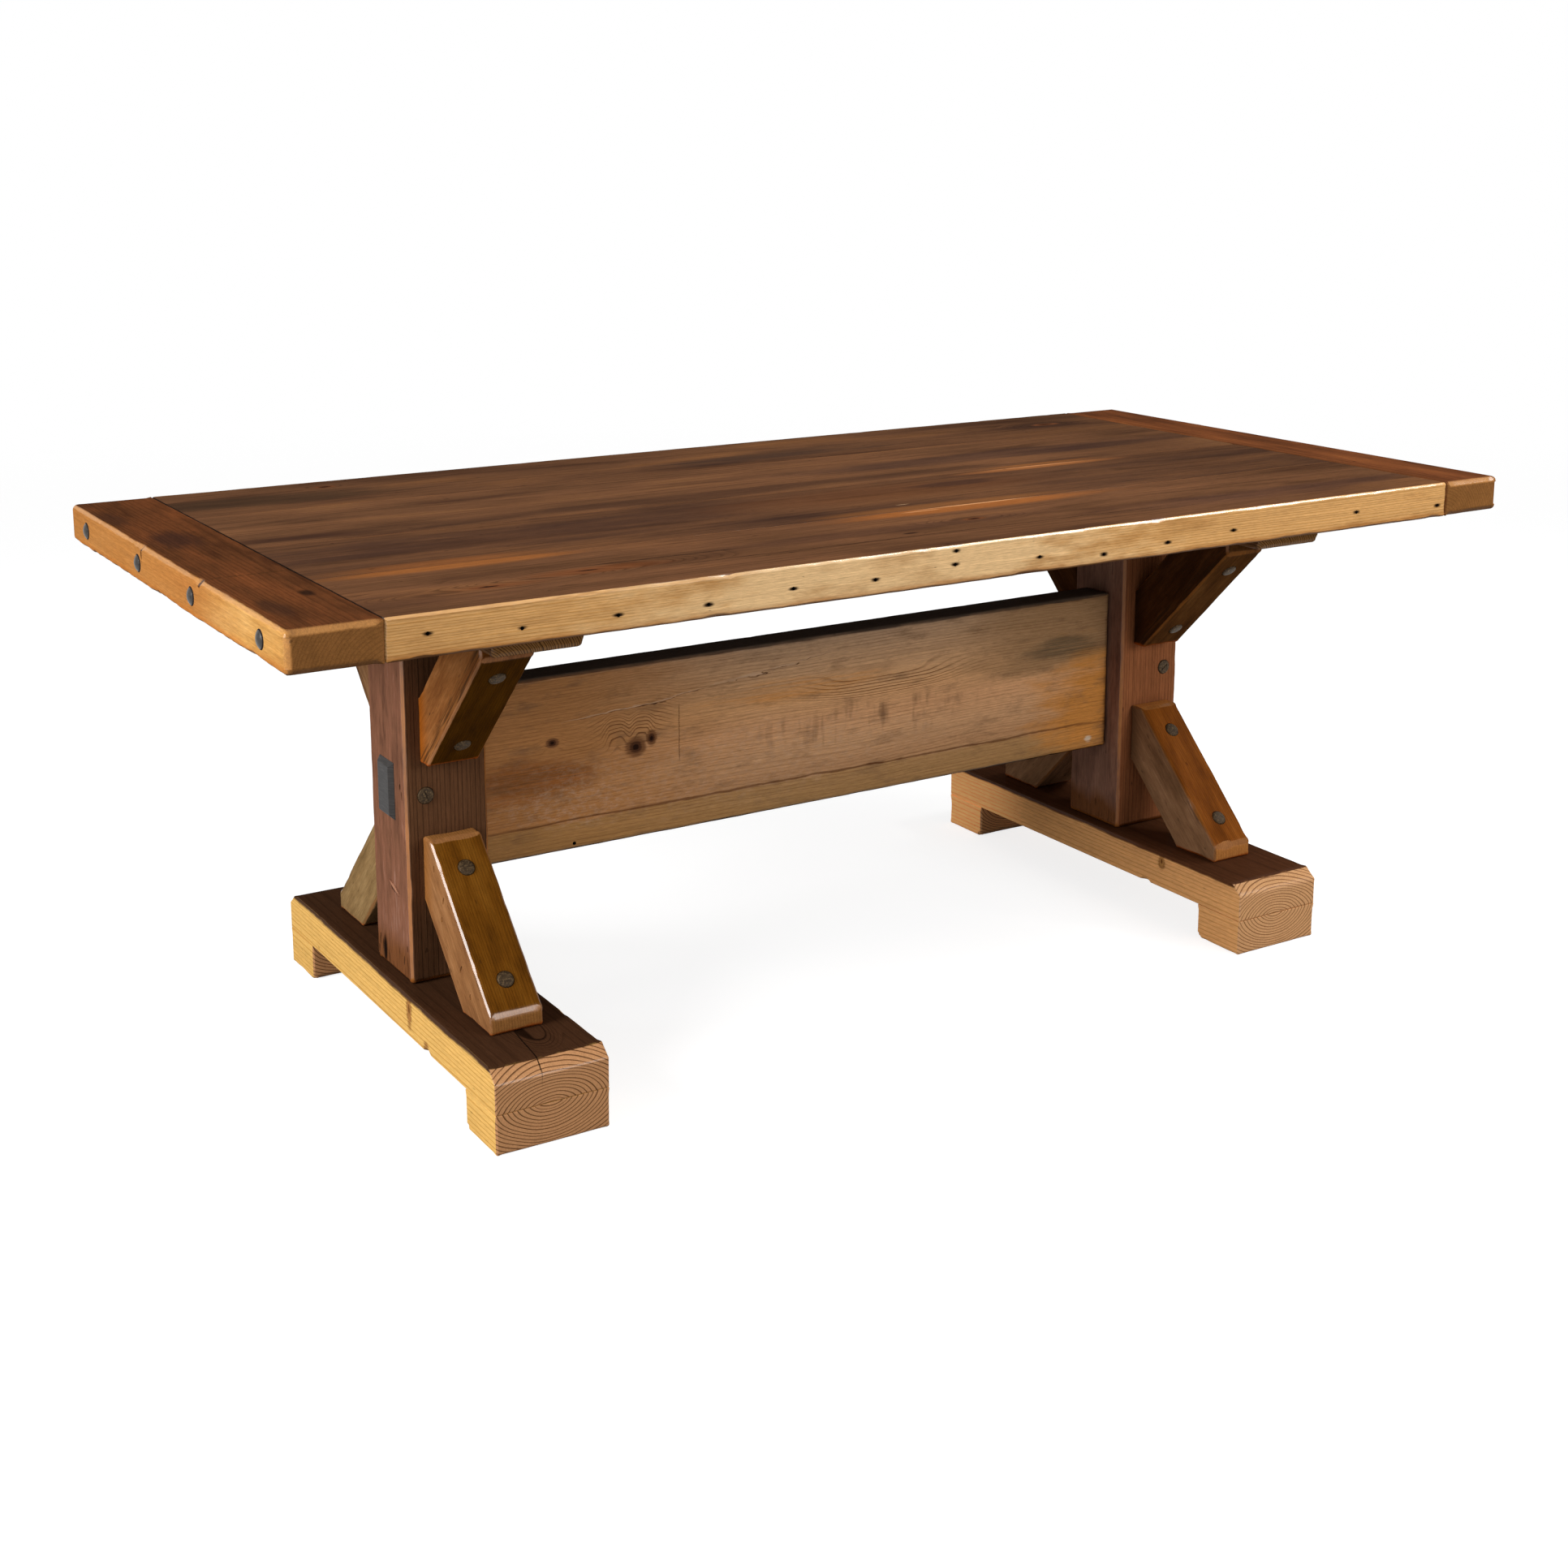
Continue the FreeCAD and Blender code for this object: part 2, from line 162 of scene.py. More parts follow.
def show(mesh, name, materials, nodes, holes=None):
    # Turns a finished mesh into a piece that stands for its solids, with the holes cut out of it first.
    sharp_from = math.radians(48)
    piece = solid(mesh, name, materials)
    if holes:
        tool = solid(holes, "drill", (materials[0], materials[-1]))
        cut = piece.modifiers.new("Holes", "BOOLEAN")
        cut.object = tool
        cut.operation = "DIFFERENCE"
        cut.solver = "EXACT"
        cut.material_mode = "TRANSFER"
        piece.data = bpy.data.meshes.new_from_object(
            piece.evaluated_get(bpy.context.evaluated_depsgraph_get()))
        piece.modifiers.clear()
        bpy.data.objects.remove(tool)
    piece.data.shade_smooth()
    piece.data.set_sharp_from_angle(angle=sharp_from)
    piece.modifiers.new("Flat faces stay flat", "WEIGHTED_NORMAL").keep_sharp = True
    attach(piece, "root")
    if nodes:
        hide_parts(*nodes)
    return piece


def linear(code):
    parts = [int(code[start:start + 2], 16) / 255 for start in (1, 3, 5)]
    parts = [part / 12.92 if part <= 0.04045 else ((part + 0.055) / 1.055) ** 2.4 for part in parts]
    return (*parts, 1.0)


def add(tree, kind, inputs, out=0, stops=(), **settings):
    node = tree.nodes.new("ShaderNode" + kind)
    for name, value in settings.items():
        setattr(node, name, value)
    for name, value in inputs.items():
        if isinstance(value, bpy.types.NodeSocket):
            tree.links.new(value, node.inputs[name])
        else:
            node.inputs[name].default_value = value
    for order, (at, code) in enumerate(stops):
        elements = node.color_ramp.elements
        element = elements[order] if order < 2 else elements.new(at)
        element.position = at
        element.color = linear(code)
    return node.outputs[out] if node.outputs else None


def fresh(name):
    skin = bpy.data.materials.new(name)
    skin.use_nodes = True
    skin.node_tree.nodes.clear()
    return skin, skin.node_tree


def cloudy(tree, place, size_mm, detail, rough=0.5):
    # Soft clouds of about this size along X, Y and Z, with None for a way in which they never change.
    counts = [1 / size if size else 0.0 for size in size_mm]
    place = add(tree, "VectorMath", {0: place, 1: counts}, operation="MULTIPLY")
    return add(tree, "TexNoise", {"Vector": place, "Scale": 1.0, "Detail": detail, "Roughness": rough})


def tinted(tree, below, *layers):
    # Lays tones over what is below, one after the other, each by a share from 0 to 1 or by several
    # shares multiplied together. A tone is a hex colour or another colour.
    below = linear(below) if isinstance(below, str) else below
    for share, tone in zip(layers[::2], layers[1::2]):
        shares = list(share) if isinstance(share, tuple) else [share]
        share = shares.pop(0)
        for more in shares:
            share = add(tree, "Math", {0: share, 1: more}, operation="MULTIPLY")
        tone = linear(tone) if isinstance(tone, str) else tone
        below = add(tree, "Mix", {0: share, 6: below, 7: tone}, out=2, data_type="RGBA")
    return below


def shaded(tree, below, share, light, deep, start=0.0, end=1.0):
    # Makes a colour lighter or deeper along a pattern, between two of its levels.
    below = linear(below)[:3] if isinstance(below, str) else below
    level = add(tree, "MapRange", {"Value": share, "From Min": start, "From Max": end,
                                   "To Min": light, "To Max": deep})
    return add(tree, "VectorMath", {0: below, "Scale": level}, operation="SCALE")


def flecks(tree, place, size_mm, detail, rough, start, end, most):
    # Only the densest of the clouds, from a level where they start to one where they are full.
    cloud = cloudy(tree, place, size_mm, detail, rough)
    return add(tree, "MapRange", {"Value": cloud, "From Min": start, "From Max": end, "To Max": most})


def wavered(tree, level, waver, amount):
    # Lets a level wander to and fro with a pattern.
    off = add(tree, "Math", {0: waver, 1: 0.5}, operation="SUBTRACT")
    return add(tree, "Math", {0: off, 1: amount, 2: level}, operation="MULTIPLY_ADD")


def spot(grown, middle, squash, radius, waver=None, inner=0.4, ragged=1.6):
    # A soft round place, 1 at its middle and 0 outside, with a border that may waver.
    tree = grown.tree
    away = add(tree, "VectorMath", {0: grown.place, 1: middle}, operation="SUBTRACT")
    away = add(tree, "VectorMath", {0: away, 1: squash}, operation="MULTIPLY")
    far = add(tree, "VectorMath", {0: away}, out="Value", operation="LENGTH")
    if waver:
        far = wavered(tree, far, waver, radius * ragged)
    return add(tree, "MapRange", {"Value": far, "From Min": radius * 1.2, "From Max": radius * inner},
               interpolation_type="SMOOTHSTEP")


def beyond(grown, direction, level, soft, amount, waver=None):
    # All that lies further out than a level in mm, 1 there and 0 inside, with a border that wavers.
    tree = grown.tree
    out = add(tree, "VectorMath", {0: grown.place, 1: direction}, out="Value", operation="DOT_PRODUCT")
    out = wavered(tree, out, waver or grown.blotch, amount)
    return add(tree, "MapRange", {"Value": out, "From Min": level - soft, "From Max": level + soft},
               interpolation_type="SMOOTHSTEP")


def facing(grown, direction, start, end, ragged=0.3, both=False):
    # The faces that look one way, or that way and back, with a ragged border along the arris.
    tree = grown.tree
    normal = add(tree, "NewGeometry", {}, out="Normal")
    turned = add(tree, "VectorMath", {0: normal, 1: direction}, out="Value", operation="DOT_PRODUCT")
    if both:
        turned = add(tree, "Math", {0: turned}, operation="ABSOLUTE")
    turned = wavered(tree, turned, grown.blotch, ragged)
    return add(tree, "MapRange", {"Value": turned, "From Min": start, "From Max": end},
               interpolation_type="SMOOTHSTEP")


def crack(grown, across, level, width, start, end, sway, waver=None):
    # A thin wandering line between two ends, where the place measured across meets a level.
    tree = grown.tree
    off = add(tree, "VectorMath", {0: grown.place, 1: across}, out="Value", operation="DOT_PRODUCT")
    off = wavered(tree, off, waver or grown.blotch, sway)
    off = add(tree, "Math", {0: off, 1: level}, operation="SUBTRACT")
    off = add(tree, "Math", {0: off}, operation="ABSOLUTE")
    line = add(tree, "MapRange", {"Value": off, "From Min": width, "From Max": width * 0.3})
    reach = add(tree, "VectorMath", {0: grown.place, 1: (start + end) / 2}, operation="SUBTRACT")
    reach = add(tree, "VectorMath", {0: reach, 1: (end - start).normalized()}, out="Value",
                operation="DOT_PRODUCT")
    reach = add(tree, "Math", {0: reach}, operation="ABSOLUTE")
    half = (end - start).length / 2
    reach = add(tree, "MapRange", {"Value": reach, "From Min": half, "From Max": half * 0.8})
    return add(tree, "Math", {0: line, 1: reach}, operation="MULTIPLY")


def wood(name, turn, pith, ring, sway, seed, knots=(), drift_mm=(650, 110), late_from=0.45, across=1.0,
         fray=0.22):
    # Growth rings round a wandering pith, in millimetres, with the grain along X after the turn.
    # Knots lift the rings round them. Gives the tree and its patterns, all from 0 to 1.
    skin, tree = fresh(name)
    place = add(tree, "TexCoord", {}, out="Object")
    place = add(tree, "VectorMath", {0: place, "Scale": 1000.0}, operation="SCALE")
    start = Euler(turn).to_matrix() @ (Vector(pith) * -1000) + Vector((seed * 1370.0, 0, 0))
    along = add(tree, "Mapping", {"Vector": place, "Rotation": turn, "Location": start})
    slow = add(tree, "VectorMath", {0: along, 1: (1 / drift_mm[0], 1 / drift_mm[1], 1 / drift_mm[1])},
               operation="MULTIPLY")
    drift = add(tree, "TexNoise", {"Vector": slow, "Scale": 1.0, "Detail": 2.0}, out="Color")
    drift = add(tree, "VectorMath", {0: drift, 1: (0.5, 0.5, 0.5)}, operation="SUBTRACT")
    drift = add(tree, "VectorMath", {0: drift, 1: (0.0, sway, sway)}, operation="MULTIPLY")
    bent = add(tree, "VectorMath", {0: along, 1: drift}, operation="ADD")
    bent = add(tree, "VectorMath", {0: bent, 1: (0.0, across, 1.0)}, operation="MULTIPLY")
    radius = add(tree, "VectorMath", {0: bent}, out="Value", operation="LENGTH")
    blotch = cloudy(tree, along, (110, 26, 26), 4.0, 0.6)
    fibre = cloudy(tree, along, (55, 1.5, 1.5), 3.0, 0.65)
    lines = cloudy(tree, along, (260, 4.2, 4.2), 4.0, 0.65)
    cores = []
    swirls = []
    grown = SimpleNamespace(skin=skin, tree=tree, place=place, along=along, fibre=fibre, lines=lines,
                            blotch=blotch, cores=cores, swirls=swirls)
    for middle, squash, size, lift, reach in knots:
        swirls.append(spot(grown, middle, squash, reach))
        radius = add(tree, "Math", {0: swirls[-1], 1: lift, 2: radius}, operation="MULTIPLY_ADD")
        cores.append([spot(grown, middle, squash, size * grow, fibre, 0.8, 0.9) for grow in (1.7, 1.0, 0.5)])
    count = add(tree, "Math", {0: radius, 1: ring}, operation="DIVIDE")
    slower = add(tree, "Math", {0: count, 1: 0.31}, operation="MULTIPLY")
    uneven = add(tree, "TexNoise", {"W": slower, "Scale": 1.0, "Detail": 1.0}, noise_dimensions="1D")
    count = add(tree, "Math", {0: uneven, 1: 1.3, 2: count}, operation="MULTIPLY_ADD")
    count = add(tree, "Math", {0: fibre, 1: fray, 2: count}, operation="MULTIPLY_ADD")
    phase = add(tree, "Math", {0: count}, operation="FRACT")
    rise = add(tree, "MapRange", {"Value": phase, "From Min": late_from, "From Max": 0.9},
               interpolation_type="SMOOTHSTEP")
    fall = add(tree, "MapRange", {"Value": phase, "From Min": 1.0, "From Max": 0.92},
               interpolation_type="SMOOTHSTEP")
    grown.late = add(tree, "Math", {0: rise, 1: fall}, operation="MULTIPLY")
    return grown


def waxed(grown, colour, rough, relief, grain, specks, wax=0.004, shine=1.0):
    # The waxed surface: fine lines, dark specks, a gloss broken up by the fibre, and rubbed arrises.
    # The wax film lies as a coat, thin on the flats and full on the arrises.
    tree = grown.tree
    colour = shaded(tree, colour, grown.lines, 1 - grain, 1 + grain, 0.28, 0.72)
    colour = shaded(tree, colour, grown.fibre, 1 - grain * 0.6, 1 + grain * 0.6, 0.28, 0.72)
    pore = cloudy(tree, grown.along, (16, 1.3, 1.3), 2.0, 0.7)
    colour = shaded(tree, colour, pore, 1.06, 0.8, 0.35, 0.7)
    cell = add(tree, "VectorMath", {0: grown.along, 1: (1 / 50, 1 / 21, 1 / 21)}, operation="MULTIPLY")
    gap = add(tree, "TexVoronoi", {"Vector": cell, "Scale": 1.0}, out="Distance")
    chance = add(tree, "TexVoronoi", {"Vector": cell, "Scale": 1.0}, out="Color")
    gap = add(tree, "Math", {0: chance, 1: -0.13, 2: gap}, operation="MULTIPLY_ADD")
    gap = add(tree, "Math", {0: pore, 1: -0.2, 2: gap}, operation="MULTIPLY_ADD")
    speck = add(tree, "MapRange", {"Value": gap, "From Min": -0.11, "From Max": -0.15, "To Max": specks})
    colour = tinted(tree, colour, speck, "#24160e")
    height = add(tree, "Math", {0: grown.late, 1: 0.5, 2: grown.fibre}, operation="MULTIPLY_ADD")
    height = add(tree, "Math", {0: pore, 1: -0.5, 2: height}, operation="MULTIPLY_ADD")
    height = add(tree, "Math", {0: speck, 1: -2.0, 2: height}, operation="MULTIPLY_ADD")
    bump = add(tree, "Bump", {"Height": height, "Strength": relief, "Distance": 0.0007})
    rubbed = add(tree, "Attribute", {}, out="Fac", attribute_name="polished")
    dull = add(tree, "MapRange", {"Value": grown.fibre, "From Min": 0.3, "From Max": 0.7,
                                  "To Min": rough - 0.08, "To Max": rough + 0.1})
    dull = add(tree, "Math", {0: rubbed, 1: -0.12, 2: dull}, operation="MULTIPLY_ADD")
    film = add(tree, "MapRange", {"Value": rubbed, "To Min": wax, "To Max": shine})
    surface = add(tree, "BsdfPrincipled", {"Base Color": colour, "Roughness": dull, "Normal": bump,
                                           "Specular IOR Level": 0.0, "Coat Weight": film,
                                           "Coat Roughness": 0.16})
    add(tree, "OutputMaterial", {"Surface": surface})
    return grown.skin


def meets(one, two):
    return abs(one - two) < 1e-4


beam_arris = 0.004
slope_down = 0.016
slope_back = 0.020
notch_y = -0.166
notch_reach = 0.012
notch_share = 2.1
cut_end_share = 0.45
lower_edge_share = 0.4
foot_ring_mm = 4.3
# Where the painted light on the rear of the right foot's sides starts, in mm behind the middle.
lit_rear_from_mm = 200
trodden_mm = 4.4
grain_y = (0.0, 0.0, math.radians(-90))
left = Vector((-1, 0, 0))
back = Vector((0, 1, 0))
upward = Vector((0, 0, 1))


def foot_wood(name, pith, top_mm, seed, tones, rear=1.0, spikes=(), checks=(), knots=()):
    # Waxed pine: golden straight lines on the sides, thin dark rings on the ends, a brown-black top.
    grown = wood(name, grain_y, pith, foot_ring_mm, 10, seed, knots, (650, 110), 0.6, 0.62, 0.08)
    tree = grown.tree
    side = tinted(tree, tones[0], grown.late, tones[1])
    patch = add(tree, "MapRange", {"Value": grown.blotch, "From Min": 0.5, "From Max": 0.8, "To Max": 0.5})
    side = shaded(tree, side, patch, 1.0, 0.72)
    # Painted light: the rear of the sides is made lighter by the factor rear.
    lit_rear = beyond(grown, back, lit_rear_from_mm, 90.0, 60.0)
    side = shaded(tree, side, lit_rear, 1.0, rear)
    for middle, squash, size in spikes:
        for grow, tone in ((1.5, "#7d4f28"), (1.05, "#ad7a44"), (0.45, "#66401f")):
            side = tinted(tree, side, spot(grown, middle, squash, size * grow, grown.lines), tone)
    end = tinted(tree, tones[2], grown.late, tones[3])
    end = shaded(tree, end, patch, 1.0, 0.82)
    for line in checks:
        end = tinted(tree, end, crack(grown, *line, 5.0), "#1f130b")
    lined = add(tree, "Math", {0: grown.late, 1: 0.3}, operation="MULTIPLY")
    for swirl in grown.swirls:
        arc = add(tree, "Math", {0: grown.late, 1: swirl}, operation="MULTIPLY")
        lined = add(tree, "Math", {0: lined, 1: arc}, operation="MAXIMUM")
    top = tinted(tree, tones[4], lined, tones[5])
    top = shaded(tree, top, patch, 1.0, 1.3)
    for line in checks:
        top = tinted(tree, top, crack(grown, *line, 5.0), "#120b07")
    ends = facing(grown, back, 0.3, 0.5, both=True)
    colour = tinted(tree, side, ends, end)
    tops = beyond(grown, upward, top_mm - trodden_mm, 2.0, 8.0)
    flat = facing(grown, upward, 0.84, 0.95, 0.2)
    edge = facing(grown, left, 0.2, 0.5, 0.2)
    flat = add(tree, "Math", {0: flat, 1: edge}, operation="MAXIMUM")
    colour = tinted(tree, colour, (tops, flat), top)
    return waxed(grown, colour, 0.42, 0.3, 0.07, 0.3)


foot_tones = {"left": ("#dfb165", "#c6944c", "#c08c60", "#57371f", "#452c1c", "#20120a"),
              "right": ("#e3a76b", "#cd9056", "#d09d6d", "#7a5032", "#53321f", "#331e11")}
# How much lighter the rear of each foot's sides is painted: painted light, on the right foot only.
foot_rear_painted_light = {"left": 1.0, "right": 2.1}
for seed, side in ((1, "left"), (2, "right")):
    low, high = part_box("foot_beam_" + side)
    middle_x = (low.x + high.x) / 2
    outline = [(low.y, low.z), (high.y, low.z), (high.y, high.z - slope_down), (high.y - slope_back, high.z),
               (low.y + slope_back, high.z), (low.y, high.z - slope_down)]
    outline = [Vector((low.x, y, z)) for y, z in outline]
    notch = Vector((low.x, notch_y, low.z))

    def foot_edges(corner):
        # The cut ends stay crisp, and one old chip sits in the left foot's lower edge, beside a knot.
        if abs(corner.y) > high.y - slope_back - 0.001:
            return cut_end_share
        if (corner - notch).length < notch_reach:
            return notch_share
        return lower_edge_share if meets(corner.z, low.z) else 1.0

    def foot_polish(corner):
        # Only the cut ends shine, where shoes rub them.
        return 1.0 if abs(corner.y) > high.y - 0.002 else 0.15
    beam = prism(outline, Vector((high.x - low.x, 0, 0)))
    beam = weather(beam, beam_arris, 0.22, 1.2, seed, 0.009, foot_edges, foot_polish)
    side_x = low.x * 1000
    spikes = [((side_x, -206, 104), (0.0, 1.0, 0.5), 6)]
    checks = []
    knots = []
    if side == "left":
        spikes = [((side_x, -103, 98), (0.0, 1.0, 0.34), 7), ((side_x, -163, 57), (0.0, 1.0, 0.7), 8)]
        checks = [(Vector((1.0, -0.1, 0.0)), -631.0, 1.3,
                   Vector((-670, -280, 120)), Vector((-670, -397, 86)))]
        knots = [((-643, -285, high.z * 1000), (1.0, 0.42, 0.0), 0.1, 24, 36)]
    skin = foot_wood("waxed_pine_beam_" + side, (middle_x - 0.004, 0, low.z - 0.012), high.z * 1000, seed,
                     foot_tones[side], foot_rear_painted_light[side], spikes, checks, knots)
    show(beam, "foot_beam_" + side + "_timber", [skin], ["foot_beam_" + side])


# Foot pads: two short blocks of the same timber are glued and screwed under each foot beam, flush
# with its ends, so that the table stands on four pads. The inner lower edge is rounded off.

pad_arris = 0.0032
pad_round_share = 2.6
pad_joint_share = 0.35
screw_head = 0.0126
screw_head_height = 0.005
untrodden_mm = 900
down = Vector((0, 0, -1))


def drill(mesh, places, outward, diameter, depth):
    # Adds a round drill to a tool mesh, set square to a face, for each place.
    radius = diameter / 2
    turn = outward.to_track_quat("Z", "Y").to_matrix().to_4x4()
    for place in places:
        made = bmesh.ops.create_cone(mesh, cap_ends=True, segments=28, radius1=radius, radius2=radius,
                                     depth=2 * depth, matrix=Matrix.Translation(place) @ turn)["verts"]
        for face in {face for vert in made for face in vert.link_faces}:
            face.material_index = 1
    return mesh


def screw_holes(screws, underside):
    # Wide holes from below, as deep as the whole of the sunk heads.
    mouths = [Vector((place.x, place.y, underside)) for place in screws]
    depth = screws[0].z - underside + screw_head_height
    return drill(bmesh.new(), mouths, down, screw_head, depth)


def heads(node, outward, reach=0.0002, same_head=0.03):
    # The middles of the outermost rims of a group of bolts or holes, read from their solids.
    corners = {tuple(round(number, 6) for number in vert.co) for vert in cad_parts[node].data.vertices}
    corners = [Vector(corner) for corner in sorted(corners)]
    most = max(corner.dot(outward) for corner in corners)
    groups = []
    for corner in corners:
        if most - corner.dot(outward) > reach:
            continue
        for group in groups:
            if (group[0] - corner).length < same_head:
                group.append(corner)
                break
        else:
            groups.append([corner])
    return [sum(group, Vector()) / len(group) for group in groups]


def gouge(mesh, place, size, tilt):
    # Adds a long low lens to a tool mesh, for a dent in a face that looks along X.
    turn = Matrix.Rotation(math.radians(tilt), 4, "X") @ Matrix.Diagonal((*size, 1.0))
    bmesh.ops.create_icosphere(mesh, subdivisions=3, radius=1.0, matrix=Matrix.Translation(place) @ turn)
    return mesh


def mottled(name, per_metre, tones, metal, rough, relief, gloss=0.1):
    # A plain material broken up by a fine mottle, stretched by its counts per metre along X, Y and Z.
    skin, tree = fresh(name)
    place = add(tree, "TexCoord", {}, out="Object")
    place = add(tree, "VectorMath", {0: place, 1: per_metre}, operation="MULTIPLY")
    mottle = add(tree, "TexNoise", {"Vector": place, "Scale": 1.0, "Detail": 5.0, "Roughness": 0.65})
    colour = add(tree, "ValToRGB", {"Fac": mottle}, stops=zip((0.3, 0.52, 0.72), tones))
    dull = add(tree, "MapRange", {"Value": mottle, "To Min": rough - 0.15, "To Max": rough + 0.15})
    bump = add(tree, "Bump", {"Height": mottle, "Strength": relief, "Distance": 0.0007})
    surface = add(tree, "BsdfPrincipled", {"Base Color": colour, "Metallic": metal, "Roughness": dull,
                                           "Normal": bump, "Specular IOR Level": gloss})
    add(tree, "OutputMaterial", {"Surface": surface})
    return skin


# Packed dirt in holes and recesses: near black, dull and crumbly. Round the rims of the domed bolt heads it
# is a painted shadow.
dark = mottled("holes_and_painted_rim_shadow", (400.0, 400.0, 400.0), ("#120d0a", "#1a1310", "#2a1f18"), 0.0, 0.8, 0.6)

for seed, side in ((11, "left"), (14, "right")):
    for end, toward in (("front", -1), ("back", 1)):
        node = "foot_pad_" + side + "_" + end
        low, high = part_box(node)
        middle_x = (low.x + high.x) / 2
        inner = high.y if toward < 0 else low.y

        def pad_round(corner):
            if meets(corner.z, high.z):
                return pad_joint_share
            return pad_round_share if meets(corner.y, inner) and meets(corner.z, low.z) else 1.0

        def pad_polish(corner):
            return 0.2
        pad = weather(block(low, high), pad_arris, 0.22, 1.2, seed + toward, 0.010, pad_round, pad_polish)
        screws = [place for place in heads("foot_pad_screws_" + side, down) if low.y < place.y < high.y]
        holes = screw_holes(screws, low.z)
        # The back pads carry the same painted light on their sides.
        rear = foot_rear_painted_light[side] if end == "back" else 1.0
        skin = foot_wood("waxed_pine_" + node, (middle_x - 0.004, 0, high.z + 0.010), untrodden_mm,
                         seed + toward, foot_tones[side], rear)
        show(pad, node + "_timber", [skin, dark], [node], holes)


# Posts: one thick square post stands on each foot beam, tenoned into it and into the bearer above.
# Rough outside with nicks and scars, planed in front, the arrises and lower rim worn to bare orange wood.

post_arris = 0.005
post_rim_share = 1.5
post_ring_mm = 6.6
pin_recess = 0.0256
pin_recess_depth = 0.0025
gouge_depth = 0.0022
# Nicks, each by its place across, height, width and length in metres, and its tilt in degrees.
post_gouges = ((-0.0135, 0.2445, 0.040, 0.007, 19), (-0.047, 0.408, 0.005, 0.010, 10),
               (-0.052, 0.396, 0.003, 0.014, -8), (0.050, 0.150, 0.006, 0.020, 6),
               (0.040, 0.140, 0.004, 0.026, -4), (0.056, 0.134, 0.005, 0.012, 0),
               (-0.040, 0.146, 0.003, 0.016, 5), (-0.054, 0.168, 0.003, 0.010, 0))
rot_height_mm = 46
bare_rim_mm = 6
splinter = ((0.0, -0.019), (0.0028, -0.006), (0.0022, 0.008), (0.0, 0.019), (-0.0022, 0.005),
            (-0.0028, -0.008))
splinter_y = -0.0135
splinter_z = 0.250
splinter_root = 0.001
splinter_lift = 0.0034
splinter_ease = 0.0007
splinter_lean = -71
splinter_tones = ("#80523f", "#93634c", "#a07057", "#ad7f66")
grain_z = (0.0, math.radians(90), 0.0)
front = Vector((0, -1, 0))


def bared(grown, start, most):
    # The patches along the arrises that are worn to bare wood.
    worn = add(grown.tree, "Attribute", {}, out="Fac", attribute_name="worn")
    worn = add(grown.tree, "Math", {0: worn, 1: grown.blotch}, operation="MULTIPLY")
    return add(grown.tree, "MapRange", {"Value": worn, "From Min": start, "From Max": 0.5, "To Max": most})


def post_wood(name, pith, seed, low_mm, front_tones, side_tones, scars_and_shadow):
    # Old waxed softwood: dull pinkish brown outside, dark stripes in front, orange at worn arrises.
    grown = wood(name, grain_z, pith, post_ring_mm, 5, seed, (), (900, 200), 0.68)
    tree = grown.tree
    side = add(tree, "ValToRGB", {"Fac": grown.blotch}, stops=zip((0.25, 0.45, 0.6, 0.8), side_tones))
    streak = cloudy(tree, grown.along, (45, 5, 5), 3.0)
    nick = add(tree, "MapRange", {"Value": streak, "From Min": 0.62, "From Max": 0.76, "To Max": 0.6})
    foot = beyond(grown, down, -low_mm - rot_height_mm, 18.0, 60.0)
    rot = add(tree, "Math", {0: foot, 1: streak}, operation="MULTIPLY")
    rot = add(tree, "MapRange", {"Value": rot, "From Min": 0.56, "From Max": 0.68, "To Max": 0.7})
    side = tinted(tree, side, nick, "#3a241a", foot, "#6e4428", rot, "#25170f")
    for middle, squash, size, tone in scars_and_shadow:
        side = tinted(tree, side, spot(grown, middle, squash, size, grown.lines), tone)
    face = tinted(tree, front_tones[0], (grown.late, 0.6), front_tones[1])
    face = shaded(tree, face, grown.blotch, 1.25, 0.75)
    fronts = facing(grown, back, 0.5, 0.8, both=True)
    worn = bared(grown, 0.18, 0.9)
    rim = beyond(grown, down, -low_mm - bare_rim_mm, 2.5, 12.0)
    colour = tinted(tree, side, fronts, face, worn, "#a5672f", (rim, 0.8), "#8c4f22")
    return waxed(grown, colour, 0.44, 0.45, 0.16, 0.45)


def ease(mesh, edges, width, steps):
    bmesh.ops.bevel(mesh, geom=edges, offset=width, offset_type="OFFSET", segments=steps, profile=0.5,
                    affect="EDGES", material=-1)


def trestle_polish(corner):
    # The left trestle's arrises are rubbed bright, the right one's have stayed dull.
    return 1.0 if corner.x < 0 else 0.35


